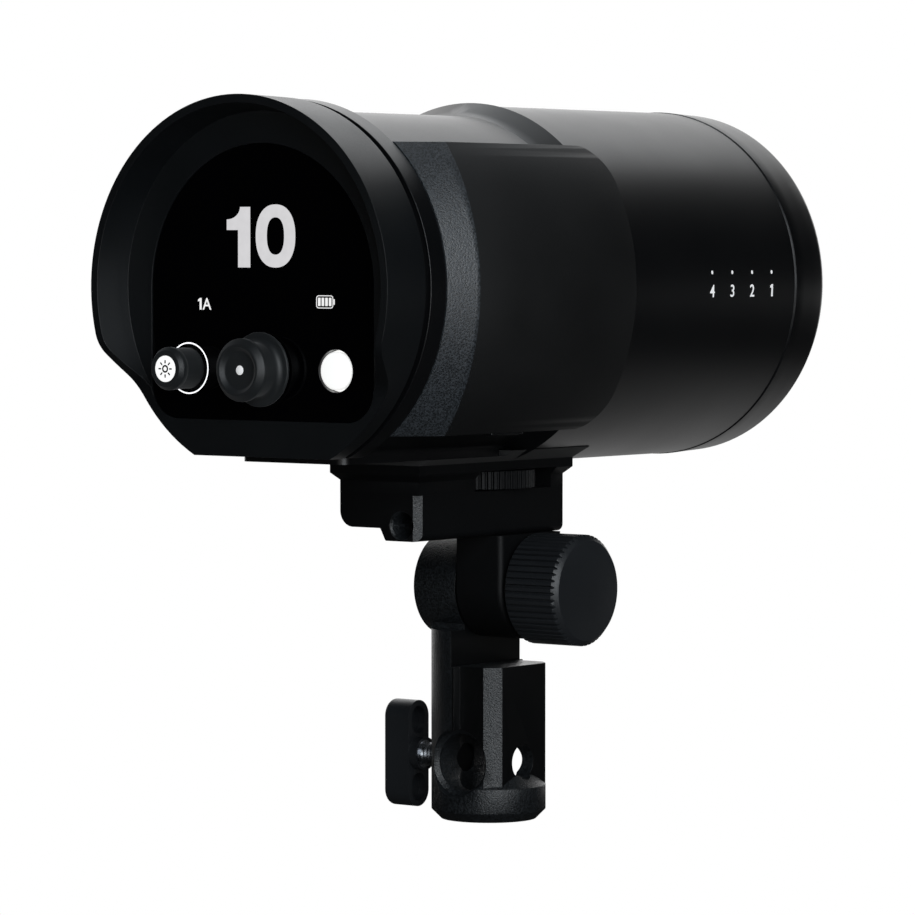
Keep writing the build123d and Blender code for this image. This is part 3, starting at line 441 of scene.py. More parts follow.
@dataclass(frozen=True)
class ClearGlass(Finish):
    """Borosilicate or quartz glass: clear, or frosted where its roughness is high."""

    tint: str
    roughness: float
    grain: float
    depth: float

    def surface(self, nodes: Nodes) -> dict:
        """Builds the frost.

        Args:
            nodes: the material's nodes.

        Returns:
            The shader's inputs, by name.
        """
        frost = nodes.noise(self.grain)
        return {"Base Color": linear(self.tint), "IOR": 1.47, "Transmission Weight": 1.0,
                "Roughness": nodes.ranged(frost, MIDDLE, (self.roughness * 0.8, self.roughness * 1.2)),
                "Normal": nodes.bumped(frost, self.depth)}


@dataclass(frozen=True)
class Phosphor(Finish):
    """The yellow phosphor over the lamp's LED chips, in a fine grid with dark saw lines."""

    chip: float = 4.0

    def surface(self, nodes: Nodes) -> dict:
        """Builds the grid of chips.

        Args:
            nodes: the material's nodes.

        Returns:
            The shader's inputs, by name.
        """
        chips = nodes.add("TexBrick", {
            "Vector": nodes.where, "Scale": per_mm(self.chip), "Mortar Size": 0.04,
            "Color1": linear("#e8b83a"), "Color2": linear("#f0c659"), "Mortar": linear("#7a5a1e"),
            "Brick Width": 0.5, "Row Height": 0.5}).outputs[0]
        return {"Base Color": chips, "Roughness": 0.45, "Coat Weight": 0.4, "Coat Roughness": 0.1,
                "Normal": nodes.bumped(nodes.noise(0.2), 0.01)}


@dataclass(frozen=True)
class Laminate(Finish):
    """FR-4 circuit board: solder mask over woven glass, whose weave just shows, with tinned pads."""

    mask: str
    weave: float = 6.28
    pads: float = 3.2

    def surface(self, nodes: Nodes) -> dict:
        """Builds the weave and the pads.

        Args:
            nodes: the material's nodes.

        Returns:
            The shader's inputs, by name.
        """
        warp, weft = (nodes.add("TexWave", {"Vector": nodes.where, "Scale": per_mm(self.weave)},
                                bands_direction=way).outputs[1] for way in "YZ")
        pads = nodes.add("TexVoronoi", {"Vector": nodes.where, "Scale": per_mm(self.pads)},
                         feature="F1").outputs[0]
        tinned = nodes.ranged(pads, (0.17, 0.14))
        return {"Base Color": nodes.blend(tinned, self.mask, "#b9bcbc"), "Metallic": tinned,
                "Roughness": 0.38, "Normal": nodes.bumped(nodes.between(0.5, warp, weft), 0.01)}


# ---- the object's finishes
# The tube and the shells: black ABS with a satin skin, nearly smooth to the eye.
TUBE_ABS = Moulded(
    "satin_black_abs", "black_polycarbonate", "#060709", "#090a0c", 0.36, 0.35, 0.003, gloss_spread=0.03)
RING_ABS = Moulded(
    "front_ring_abs", "black_polycarbonate", "#050608", "#08090b", 0.33, 0.4, 0.003, gloss_spread=0.03)
HOOD_ABS = Moulded("hood_abs", "hood_plastic", "#090c0e", "#0d1013", 0.42, 0.35, 0.012)
# Side panels: fine matt grain on the broad face, coarse grip on the slanted end, smooth on the edges.
PANEL_ABS = Moulded(
    "panel_abs_fine_grain", "black_polycarbonate", "#060708", "#0a0b0c", 0.5, 0.42, 0.014, specular=0.7)
PANEL_GRIP = SparkEroded(
    "panel_abs_coarse_grain", "black_polycarbonate", "#15181a", "#30353a", 0.4, 0.55, 0.1)
PANEL_SHELF = Moulded("panel_abs_smooth", "black_polycarbonate", "#0b0d0f", "#101214", 0.3, 0.3, 0.004)
# Adapter and tilt knob: glass-filled nylon, dull and slightly mottled.
ADAPTER_NYLON = Moulded(
    "glass_filled_nylon", "cast_black", "#030405", "#060709", 0.56, 0.5, 0.014, specular=0.25)
KNOB_NYLON = Moulded("tilt_knob_nylon", "knob_plastic", "#1b1d20", "#222528", 0.45, 0.35, 0.012)
# Stand socket: powder coat with coarse bumps, but thin and smooth on the machined flats.
CAST_COAT = SparkEroded(
    "powder_coated_zinc_casting", "cast_black", "#050607", "#1d2124", 0.38, 0.55, 0.16, specular=0.6)
MACHINED_COAT = Moulded("machined_flat_black", "cast_black", "#040506", "#070809", 0.36, 0.5, 0.006)
HANDLE_NYLON = Moulded("clamp_handle_nylon", "knob_plastic", "#1d1f22", "#24272a", 0.4, 0.3, 0.005)
# Dial and lamp knob: soft-touch rubber, dull, with a short sheen at the edges.
SOFT_TOUCH = Moulded(
    "soft_touch_rubber", "control_rubber", "#0d1113", "#12171a", 0.52, 0.25, 0.006, sheen=0.15)
SADDLE_RUBBER = Moulded("saddle_rubber", "saddle_rubber", "#0b0b0c", "#111112", 0.7, 0.5, 0.02, sheen=0.1)
# Test button: white polycarbonate, slightly glossy, and lit from behind.
BUTTON_PC = Moulded(
    "white_polycarbonate", "white_plastic", "#f4f4f2", "#eeeeec", 0.3, 0.3, 0.002, glow=0.76)
WINDOW_ACRYLIC = Polished("black_acrylic_window", "black_gloss", "#020203", specular=0.4)
LIT_DIGIT = Glowing("lit_display_segment", "white_plastic", "#d3d2d4", 1.0, "#17171a")
LIT_ICON = Glowing("lit_display_icon", "white_plastic", "#f2f2f2", 1.0, "#17171a")
LIT_RING = Glowing("light_guide_ring", "white_plastic", "#fbfcff", 1.1, spill=0.12)
# Printed ink glows faintly of itself: painted brightness.
INK_WHITE = Printed("white_pad_print", "white_plastic", "#f6f6f6")
INK_BLACK = Printed("black_pad_print", "control_rubber", "#0a0a0a")
ZINC_STEEL = Metal("zinc_plated_steel", "zinc_steel", "#b9bcc0", "#a3a6ab", 0.3, 0.35, Lay.ALONG_Y)
BLACK_STEEL = Metal("blackened_steel", "zinc_steel", "#3b3d40", "#2c2e30", 0.35, 0.4)
BRASS = Metal("turned_brass", "brass", "#c9a25a", "#b98f49", 0.28, 0.3)
BARE_ALUMINIUM = Metal("milled_aluminium", "bare_aluminium", "#c8cacc", "#b5b7ba", 0.34, 0.5, Lay.ALONG_X)
MIRROR_ALUMINIUM = Metal(
    "spun_mirror_aluminium", "mirror_aluminium", "#e6e8ea", "#dcdee0", 0.12, 0.8, Lay.ROUND_X, 0.004)
FRICTION_FIBRE = Moulded("pressed_fibre", "friction_fibre", "#3a332a", "#4a4136", 0.8, 0.6, 0.05)
CIRCUIT_BOARD = Laminate("fr4_circuit_board", "circuit_board", "#0f3a22")
PARTS_PLASTIC = Moulded("component_plastic", "electronic", "#1a1b1d", "#232427", 0.5, 0.4, 0.01)
SLEEVE_PVC = Moulded("capacitor_sleeve", "electronic", "#14161c", "#1c1f28", 0.28, 6.0, 0.03)
FRONT_GLASS = ClearGlass("frosted_borosilicate", "clear_glass", "#f3f6f6", 0.32, 0.5, 0.05)
FLASH_QUARTZ = ClearGlass("quartz_flash_tube", "clear_glass", "#fbf7ee", 0.04, 3.0, 0.01)
LED_PHOSPHOR = Phosphor("led_phosphor", "electronic")


# ---- meshes: the shared tools
def linked(name: str, data: bpy.types.ID) -> bpy.types.Object:
    """A new object with its data, in the scene.

    Args:
        name: the object's name.
        data: its mesh, light or camera.

    Returns:
        The object.
    """
    piece = bpy.data.objects.new(name, data)
    bpy.context.scene.collection.objects.link(piece)
    return piece


def read(items: bpy.types.bpy_prop_collection, key: str, width: int = 3, kind: type = float) -> np.ndarray:
    """One property of every item: a row of numbers for each, or one number where the width is 1.

    Args:
        items: a mesh's points, faces or corners.
        key: the property.
        width: how many numbers it has.
        kind: their type.

    Returns:
        The numbers.
    """
    values = np.empty(len(items) * width, kind)
    items.foreach_get(key, values)
    return values.reshape(-1, width) if width > 1 else values


def cleaned(mesh: bpy.types.Mesh, merge: float, sharp: float, flat: float = 0.0) -> None:
    """Merges a mesh's doubled points and marks its sharp edges.

    Args:
        mesh: the mesh.
        merge: the distance under which two points become one, in metres.
        sharp: the angle from which an edge is sharp.
        flat: the angle under which faces become one, or 0 to turn all faces outwards.
    """
    tidy = bmesh.new()
    tidy.from_mesh(mesh)
    bmesh.ops.remove_doubles(tidy, verts=tidy.verts, dist=merge)
    if flat:
        bmesh.ops.dissolve_limit(tidy, angle_limit=flat, verts=tidy.verts, edges=tidy.edges)
        for face in tidy.faces:
            face.material_index = 0
    else:
        bmesh.ops.recalc_face_normals(tidy, faces=tidy.faces)
    tidy.to_mesh(mesh)
    tidy.free()
    mesh.shade_smooth()
    mesh.set_sharp_from_angle(angle=sharp)


def place(name: str, points: np.ndarray, faces: list, finish: Finish, body: str) -> bpy.types.Object:
    """Makes a piece from points and faces, dresses it and lets it ride a body.

    Args:
        name: the piece's name.
        points: one row of three millimetre coordinates for each vertex.
        faces: each face's vertex numbers.
        finish: what it is made of.
        body: the frame body that carries it.

    Returns:
        The piece.
    """
    mesh = bpy.data.meshes.new(name)
    mesh.from_pydata((points * MM).tolist(), [], faces)
    mesh.materials.append(finish.material())
    cleaned(mesh, 1e-7, radians(35))
    piece = linked(name, mesh)
    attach(piece, body)
    log.info("%s: %d faces, %s", name, len(mesh.polygons), finish.name)
    return piece


def grid_faces(rows: int, columns: int, wrap_rows: bool, wrap_columns: bool) -> np.ndarray:
    """The quads that join a grid of points.

    Args:
        rows: points along the first parameter.
        columns: points along the second.
        wrap_rows: whether the last row joins the first.
        wrap_columns: whether the last column joins the first.

    Returns:
        One row of four point numbers for each quad.
    """
    r = np.arange(rows if wrap_rows else rows - 1)[:, None]
    c = np.arange(columns if wrap_columns else columns - 1)[None, :]
    r1, c1 = (r + 1) % rows, (c + 1) % columns
    corners = [r * columns + c, r1 * columns + c, r1 * columns + c1, r * columns + c1]
    return np.stack(corners, -1).reshape(-1, 4)


def turned(profile: np.ndarray, centre: Range, steps: int = 96) -> Shape:
    """A profile turned about a line along X.

    The point at distance s along the profile and at angle t is (x(s), cy + r(s) cos t, cz + r(s) sin t).

    Args:
        profile: rows of x and radius, open where both ends lie on the axis.
        centre: the axis' Y and Z.
        steps: points round the axis.

    Returns:
        The points and the faces.
    """
    t = np.linspace(0, 2 * pi, steps, endpoint=False)[None, :]
    x, r = profile[:, :1], profile[:, 1:]
    points = np.stack([x + 0 * t, centre[0] + r * np.cos(t), centre[1] + r * np.sin(t)], -1)
    closed = bool((np.abs(profile[[0, -1], 1]) > 1e-9).all())
    return points.reshape(-1, 3), grid_faces(len(profile), steps, closed, True).tolist()


def slab(outline: np.ndarray, thickness: float) -> Shape:
    """A closed plate over a flat outline, from depth 0 to the thickness.

    Args:
        outline: rows of across and up, in order round the edge.
        thickness: the plate's depth.

    Returns:
        Points as rows of across, up and depth, and the faces.
    """
    n = len(outline)
    levels = np.repeat([0.0, thickness], n)
    points = np.column_stack([np.tile(outline, (2, 1)), levels])
    sides = grid_faces(2, n, False, True).tolist()
    return points, sides + [list(range(n)), list(range(2 * n - 1, n - 1, -1))]


def band(outer: np.ndarray, inner: np.ndarray, thickness: float) -> Shape:
    """A closed flat band between two outlines of as many points, from depth 0 to the thickness.

    Args:
        outer: the outer outline.
        inner: the inner outline.
        thickness: how thick the band is.

    Returns:
        Its points and faces.
    """
    n = len(outer)
    rings = [(outer, 0.0), (inner, 0.0), (inner, thickness), (outer, thickness)]
    points = np.concatenate([np.column_stack([ring, np.full(n, depth)]) for ring, depth in rings])
    return points, grid_faces(4, n, True, True).tolist()


def joined(parts: list[Shape]) -> Shape:
    """Several shapes as one set of points and faces.

    Args:
        parts: the shapes.

    Returns:
        Their points and faces.
    """
    starts = np.cumsum([0] + [len(points) for points, _ in parts])
    faces = [[int(v) + int(start) for v in face] for start, (_, fs) in zip(starts, parts) for face in fs]
    return np.concatenate([points for points, _ in parts]), faces


def ellipse(half_w: float, half_h: float, power: float = 2.0, steps: int = 72) -> np.ndarray:
    """A superellipse: across is w |cos t|^(2/power) and up is h |sin t|^(2/power), each with its sign.

    Args:
        half_w: half its width.
        half_h: half its height.
        power: 2 for an ellipse, more for squarer corners.
        steps: how many points it has.

    Returns:
        The outline's points.
    """
    t = np.linspace(0, 2 * pi, steps, endpoint=False)
    c, s = np.cos(t), np.sin(t)
    return np.column_stack([half_w * np.sign(c) * np.abs(c) ** (2 / power),
                            half_h * np.sign(s) * np.abs(s) ** (2 / power)])


def rounded(half_w: float, half_h: float, radius: float, steps: int = 6) -> np.ndarray:
    """A rectangle with rounded corners: a quarter circle round each inner corner, one after the other.

    Args:
        half_w: half its width.
        half_h: half its height.
        radius: the corners' radius.
        steps: points in each corner.

    Returns:
        The outline's points.
    """
    t = np.concatenate([np.linspace(q, q + 1, steps) for q in range(4)]) * pi / 2
    sign_x = np.repeat([1, -1, -1, 1], steps)
    sign_y = np.repeat([1, 1, -1, -1], steps)
    return np.column_stack([sign_x * (half_w - radius) + radius * np.cos(t),
                            sign_y * (half_h - radius) + radius * np.sin(t)])


def lettering(text: str, height: float, thickness: float) -> Shape:
    """Plain bold figures as a closed plate, centred on the origin.

    Args:
        text: the figures.
        height: the height of a figure.
        thickness: how thick the plate is.

    Returns:
        Points as rows of across, up and depth, and the faces.
    """
    curve = bpy.data.curves.new("figures", "FONT")
    curve.body = text
    curve.resolution_u = 4      # points along each curve of an outline
    curve.extrude = 0.5
    curve.offset = 0.008        # how much bolder the figures are than their font
    holder = bpy.data.objects.new("figures", curve)
    mesh = bpy.data.meshes.new_from_object(holder)
    points = read(mesh.vertices, "co")
    faces = [list(face.vertices) for face in mesh.polygons]
    bpy.data.objects.remove(holder)
    bpy.data.meshes.remove(mesh)
    low, high = points.min(0), points.max(0)
    scale = height / (high[1] - low[1])
    centred = (points - (low + high) / 2) * scale
    centred[:, 2] = np.where(points[:, 2] > 0, thickness, 0.0)
    return centred, faces


def small_one(height: float, thickness: float) -> Shape:
    """A small bold figure one as a closed, centred plate: a stem with a short slanted flag.

    Args:
        height: its height.
        thickness: how thick it is.

    Returns:
        Its points and faces.
    """
    outline = np.array([[0.17, 0.5], [0.17, -0.5], [-0.05, -0.5], [-0.05, 0.26], [-0.23, 0.19],
                        [-0.23, 0.36], [0.0, 0.5]])
    return slab(outline * height, thickness)


def softened(node: str, finish: Finish, edge: float = 0.2, segments: int = 2) -> bpy.types.Object:
    """A copy of a frame node with small rounded edges, which stands for it.

    Its flat stretches become one face each, and a Bevel modifier rounds its sharp edges.

    Args:
        node: the frame node.
        finish: what it is made of.
        edge: the width of the rounded edge.
        segments: the bevel's segments.

    Returns:
        The piece.
    """
    source = frame["nodes"][node]
    piece = linked(f"{node}_skin", source.data.copy())
    mesh = piece.data
    mesh.materials.clear()
    mesh.materials.append(finish.material())
    cleaned(mesh, 2e-6, ROUND_STEPS, radians(0.06))
    if edge:
        bevel = piece.modifiers.new("edges", "BEVEL")
        bevel.width = edge * MM
        bevel.segments = segments
        bevel.limit_method = "ANGLE"
        bevel.angle_limit = ROUND_STEPS
        bevel.harden_normals = True
        bevel.use_clamp_overlap = True
    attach(piece, source["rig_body"])
    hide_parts(node)
    log.info("%s: %d faces, %s", piece.name, len(mesh.polygons), finish.name)
    return piece


def round_off(piece: bpy.types.Object, axis: np.ndarray, lean: float = 0.12, match: float = 0.99) -> None:
    """Gives a piece's turned outer faces the exact normals of their cylinder or cone.

    A corner's normal is (n, e sqrt(1 - n^2)), where n is its face's lean along X and e points straight out
    from the axis. A face counts when it leans little and its own normal points out like that.

    Args:
        piece: the piece, turned about a line along X.
        axis: a point on the line, in millimetres.
        lean: the largest lean of a face that counts.
        match: the least cosine between a face's normal and the true one.
    """
    mesh = piece.data
    points, old = read(mesh.vertices, "co"), read(mesh.corner_normals, "vector")
    corner = read(mesh.loops, "vertex_index", 1, int)
    counts = read(mesh.polygons, "loop_total", 1, int)
    normals, centres = read(mesh.polygons, "normal"), read(mesh.polygons, "center")

    def outward(places: np.ndarray) -> np.ndarray:
        """The directions of places away from the line."""
        out = (places / MM - axis) * [0, 1, 1]
        return out / np.maximum(np.linalg.norm(out, axis=1, keepdims=True), 1e-9)

    n = normals[:, 0]
    true = outward(centres) * np.sqrt(1 - n ** 2)[:, None] + n[:, None] * [1, 0, 0]
    chosen = np.repeat((np.abs(n) < lean) & ((true * normals).sum(1) > match), counts)
    n = np.repeat(n, counts)[:, None]
    exact = outward(points)[corner] * np.sqrt(1 - n ** 2) + n * [1, 0, 0]
    mesh.normals_split_custom_set(np.where(chosen[:, None], exact, old).tolist())


def repaint(piece: bpy.types.Object, finish: Finish,
            chosen: Callable[[np.ndarray, np.ndarray], np.ndarray]) -> None:
    """Gives some of a piece's faces another finish.

    Args:
        piece: the piece.
        finish: the other finish.
        chosen: takes the faces' centres in millimetres and their normals, and tells which to change.
    """
    mesh = piece.data
    picked = chosen(read(mesh.polygons, "center") / MM, read(mesh.polygons, "normal"))
    index = read(mesh.polygons, "material_index", 1, int)
    mesh.materials.append(finish.material())
    index[picked] = len(mesh.materials) - 1
    mesh.polygons.foreach_set("material_index", index)


def dress(finish: Finish, *nodes: str) -> None:
    """Gives frame nodes that keep their own mesh their finish.

    Args:
        finish: the finish.
        nodes: the frame nodes.
    """
    for node in nodes:
        mesh = frame["nodes"][node].data
        mesh.materials.clear()
        mesh.materials.append(finish.material())
        log.info("%s: %s", node, finish.name)


# ---- sub-assemblies
@dataclass
class StandMount:
    """The casting on the stand, its clamp screw with the T handle, and the friction tilt joint."""

    thread_pitch: float = 1.25
    thread_turns: int = 4
    thread_rise: float = 0.5
    thread_start: float = 17.0
    neck_r: float = 2.8
    coat_edge: float = 0.35
    collar_top: float = 14.5
    flats_to: float = 1.5

    def build(self) -> None:
        """Builds the mount's pieces."""
        self.casting()
        self.clamp()
        self.tilt()

    def casting(self) -> None:
        """The socket: rough, but smooth on the machined flats over its collar, right of its middle."""
        socket = softened("stand_socket", CAST_COAT, self.coat_edge)

        def flat(centres: np.ndarray, normals: np.ndarray) -> np.ndarray:
            """Tells the machined faces, upright and square to X or Y."""
            upright = (np.abs(normals).max(1) > 0.999) & (np.abs(normals[:, 2]) < 0.01)
            return upright & (centres[:, 2] > self.collar_top) & (centres[:, 1] < self.flats_to)

        repaint(socket, MACHINED_COAT, flat)

    def clamp(self) -> None:
        """The clamp: pad, screw and handle, with a threaded neck between casting and handle."""
        dress(BLACK_STEEL, "clamp_pad")
        softened("clamp_handle", HANDLE_NYLON, 0.5, 3)
        core = span("clamp_screw")
        r, tip, end = core.size[2] / 2, core.low[1], core.high[1]
        neck = (span("stand_socket").high[1] + 0.1, span("clamp_handle").low[1] + 0.3)
        profile = np.array([[tip, 0], [tip, r - 0.3], [tip + 0.3, r], [neck[0], r], [neck[0], self.neck_r],
                            [neck[1], self.neck_r], [neck[1], r], [end, r], [end, 0]])
        points, faces = turned(profile, (core.middle[0], core.middle[2]), 48)
        screw = place("clamp_screw_skin", points[:, [1, 0, 2]], faces, ZINC_STEEL, "clamp")
        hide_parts("clamp_screw")
        points, faces = self.thread(core.middle, self.neck_r)
        place("clamp_screw_thread", points, faces, ZINC_STEEL, "clamp")

    def thread(self, centre: np.ndarray, radius: float, steps: int = 48) -> Shape:
        """The thread's ridge, a triangle carried along a helix.

        At turn angle t its corners are at radius r - 0.05, r + rise and r - 0.05, shifted along the screw by
        minus half, nothing and half of 0.9 pitch, plus pitch t / 2 pi. The rise runs out at both ends.

        Args:
            centre: the middle of the screw.
            radius: the neck's radius.
            steps: points in each turn.

        Returns:
            Its points and faces.
        """
        t = np.linspace(0, 2 * pi * self.thread_turns, steps * self.thread_turns + 1)[:, None]
        run_out = np.clip(np.minimum(t, t[::-1]) / (pi / 2), 0.02, 1.0)
        across = np.array([-0.45, 0.0, 0.45])[None, :] * self.thread_pitch * run_out
        out = radius - 0.05 + np.array([0.0, self.thread_rise + 0.05, 0.0])[None, :] * run_out
        along = self.thread_start + self.thread_pitch * t / (2 * pi) + across
        points = np.stack([centre[0] + out * np.sin(t), along, centre[2] + out * np.cos(t)], -1)
        faces = grid_faces(len(t), 3, False, True).tolist()
        last = 3 * (len(t) - 1)
        return points.reshape(-1, 3), faces + [[2, 1, 0], [last, last + 1, last + 2]]

    def tilt(self) -> None:
        """The tilt joint: bolt, friction washer, ribbed knob with its nut and washer."""
        softened("tilt_bolt", BLACK_STEEL, 0.3)
        softened("friction_washer", FRICTION_FIBRE, 0.1)
        softened("tilt_knob", KNOB_NYLON, 0.18)
        dress(BRASS, "knob_nut")
        softened("knob_washer", ZINC_STEEL, 0.15)


@dataclass
class HeadAdapter:
    """The adapter under the head: lower head, upper plate, saddle and lock wheel."""

    edge: float = 0.35
    hole_drop: float = 8.35
    hole_y: float = -7.8
    rough_r: float = 5.0
    corner_reach: float = 3.0

    def build(self) -> None:
        """Builds the adapter, rough in the umbrella hole, out to rough_r, and on the cut rear corner."""
        head = softened("adapter_head", ADAPTER_NYLON, self.edge)
        block = span("adapter_head")
        hole_z = block.high[2] - self.hole_drop

        def rough(centres: np.ndarray, normals: np.ndarray) -> np.ndarray:
            """Tells the faces of the umbrella hole and of the cut corner.

            Args:
                centres: the faces' centres in millimetres.
                normals: their normals.

            Returns:
                Which faces are rough.
            """
            bore = np.hypot(centres[:, 1] - self.hole_y, centres[:, 2] - hole_z) < self.rough_r
            cut = (normals[:, :2] < -0.5).all(1) & (centres[:, 0] < block.low[0] + self.corner_reach)
            return (bore & (np.abs(normals[:, 0]) < 0.8)) | cut

        repaint(head, CAST_COAT, rough)
        softened("adapter_plate", ADAPTER_NYLON, self.edge)
        softened("adapter_screws", ZINC_STEEL, 0.12)
        softened("adapter_pads", SADDLE_RUBBER, 0.25)
        softened("lock_wheel", ADAPTER_NYLON, 0.15)
        softened("mounting_screw", BRASS, 0.15)


@dataclass
class Shells:
    """The head's shells: two housing halves, trim ring, rear hood and the plate under them."""

    edge: float = 0.2
    rim_edge: float = 0.35

    def build(self) -> None:
        """Builds the shells."""
        for node in ("left_housing", "right_housing"):
            round_off(softened(node, TUBE_ABS, 0.0), span("front_tube").middle)
        softened("trim_ring", TUBE_ABS, self.edge)
        softened("rear_hood", HOOD_ABS, self.rim_edge, 3)
        softened("base_plate", TUBE_ABS, self.edge)
        softened("base_screws", ZINC_STEEL, 0.12)
        softened("housing_screws", ZINC_STEEL, 0.12)
        dress(BRASS, "tripod_insert")


@dataclass
class SidePanels:
    """The fixed cover on the left and the battery on the right, each with a coarse slanted end."""

    edge: float = 0.45
    slanted: float = -0.3
    level: float = 0.93

    def build(self) -> None:
        """Builds the panels and the battery behind the right one."""
        for node in ("side_cover", "battery_cover"):
            panel = softened(node, PANEL_ABS, self.edge, 3)
            repaint(panel, PANEL_GRIP, lambda centres, normals: normals[:, 0] < self.slanted)
            repaint(panel, PANEL_SHELF, lambda centres, normals: np.abs(normals[:, 2]) > self.level)
        softened("battery_latch", PANEL_SHELF, 0.3)
        softened("battery_case", PARTS_PLASTIC, 0.3)
        dress(SLEEVE_PVC, "battery_cells")
        dress(BRASS, "battery_contacts")
        dress(PARTS_PLASTIC, "contact_block")


@dataclass
class ControlFace:
    """The black window with its lit figures, the dial, the lamp knob in its ring and the test button."""

    film: float = 0.06
    one_w: float = 8.1
    one_h: float = 16.0
    stem_w: float = 4.2
    flag_top: float = 3.3
    flag_low: float = 6.1
    neck: float = 4.6
    zero_w: float = 13.5
    zero_h: float = 16.6
    counter_w: float = 5.9
    counter_h: float = 9.8
    one_drop: float = 0.3
    figure_gap: float = 1.9
    figures_left: float = 11.9
    figures_mid: float = 13.6
    channel_at: Range = (19.9, -4.4)
    channel_h: float = 3.1
    battery_at: Range = (-21.5, -3.6)
    battery_w: float = 6.4
    battery_h: float = 3.4
    dot_r: float = 1.25
    button_dome: float = 0.45
    button_round: float = 0.7
    button_step: float = 0.42
    button_skirt: float = 1.1
    button_stem: float = 2.0
    guide_w: float = 0.42
    dish_depth: float = 1.1
    icon_line: float = 0.22
    bar_pitch: float = 1.22
    ray_at: float = 1.88
    proud: float = 0.02

    def build(self) -> None:
        """Builds the window and the controls."""
        self.window()
        self.dial()
        self.knob()
        self.button()

    def on_face(self, shape: Shape, y: float, z: float, node: str = "display_glass") -> Shape:
        """Stands a flat shape on a node's rear face: across runs to the reader's right (-Y), up along Z.

        Args:
            shape: the flat shape.
            y: where its middle goes along Y.
            z: where its middle goes along Z.
            node: the node.

        Returns:
            Its points and faces.
        """
        points, faces = shape
        depth = span(node).low[0] + self.proud - points[:, 2]
        return np.column_stack([depth, y - points[:, 0], z + points[:, 1]]), faces

    def window(self) -> None:
        """The window and what is lit behind it."""
        softened("display_glass", WINDOW_ACRYLIC, 0.2)
        axis_z = span("front_tube").middle[2]
        middle = axis_z + self.figures_mid
        top = middle + self.one_h / 2 - self.one_drop
        zero_y = self.figures_left - self.one_w - self.figure_gap - self.zero_w / 2
        lit = joined([self.on_face(self.figure_one(), self.figures_left, top),
                      self.on_face(self.figure_zero(), zero_y, middle)])
        place("level_figures", *lit, LIT_DIGIT, "head")
        for name, shape, (y, up) in (("channel_figures", self.channel_sign(), self.channel_at),
                                     ("battery_icon", self.battery_icon(), self.battery_at)):
            place(name, *self.on_face(shape, y, axis_z + up), LIT_ICON, "head")

    def channel_sign(self) -> Shape:
        """The channel's sign, a small one and an A side by side.

        Returns:
            Its points and faces.
        """
        one, one_faces = small_one(self.channel_h, self.film)
        letter, letter_faces = lettering("A", self.channel_h, self.film)
        shift = self.channel_h * 0.44
        return joined([(one - [shift, 0, 0], one_faces), (letter + [shift * 0.75, 0, 0], letter_faces)])

    def figure_one(self) -> Shape:
        """A heavy figure one, hung from its top left: the flag's upper edge is a quarter of an ellipse.

        The quarter runs from the neck on the top line to the flag's end, as (n cos t, -f sin t).

        Returns:
            Its points and faces.
        """
        t = np.linspace(0, pi / 2, 12)
        curve = np.column_stack([self.neck * np.cos(t), -self.flag_top * np.sin(t)])
        left = self.one_w - self.stem_w
        rest = np.array([[0, -self.flag_low], [left, -self.flag_low], [left, -self.one_h],
                         [self.one_w, -self.one_h], [self.one_w, 0]])
        return slab(np.concatenate([curve, rest]), self.film)

    def figure_zero(self) -> Shape:
        """A heavy figure zero: the band between two superellipses."""
        return band(ellipse(self.zero_w / 2, self.zero_h / 2, 2.25),
                    ellipse(self.counter_w / 2, self.counter_h / 2, 2.35), self.film)

    def battery_icon(self) -> Shape:
        """A battery sign: a thin rounded frame, four bars in it and a terminal on the reader's right.

        Returns:
            Its points and faces.
        """
        half_w, half_h = self.battery_w / 2 - 0.35, self.battery_h / 2
        line = self.icon_line
        parts = [band(rounded(half_w, half_h, 0.8), rounded(half_w - line, half_h - line, 0.6), self.film)]
        for k in range(4):
            bar, faces = slab(rounded(0.42, half_h - 0.62, 0.12, 3), self.film)
            parts.append((bar + [(k - 1.5) * self.bar_pitch, 0, 0], faces))
        nub, faces = slab(rounded(0.2, 0.75, 0.15, 4), self.film)
        parts.append((nub + [half_w + 0.3, 0, 0], faces))
        return joined(parts)

    def dial(self) -> None:
        """The power dial, with a white dot in the middle of its dish."""
        softened("power_dial", SOFT_TOUCH, 0.15)
        dress(BARE_ALUMINIUM, "dial_shaft", "dial_plunger")
        dial = span("power_dial")
        dish = dial.low[0] + self.dish_depth
        r = self.dot_r
        profile = np.array([[dish + 0.05, 0], [dish + 0.05, r], [dish - 0.02, r], [dish - 0.06, r - 0.06],
                            [dish - 0.06, 0]])
        place("dial_dot", *turned(profile, tuple(dial.middle[1:]), 48), INK_WHITE, "dial")

    def knob(self) -> None:
        """The lamp knob with its sun sign, and the lit ring round it."""
        softened("lamp_knob", SOFT_TOUCH, 0.15)
        softened("lamp_knob_disc", BUTTON_PC, 0.05)
        dress(BARE_ALUMINIUM, "knob_shaft", "knob_plunger")
        softened("light_ring", WINDOW_ACRYLIC, 0.1)
        guide = span("light_ring")
        r, face = guide.size[1] / 2, guide.low[0]
        outer, inner, foot, top = r - 0.05, r - self.guide_w, face + 0.3, face - self.proud
        tip = np.array([[foot, outer], [top, outer], [top, inner], [foot, inner]])
        place("light_guide", *turned(tip, tuple(guide.middle[1:]), 96), LIT_RING, "head")
        disc = "lamp_knob_disc"
        place("lamp_sign", *self.on_face(self.sun_sign(), *span(disc).middle[1:], disc), INK_BLACK, "knob")

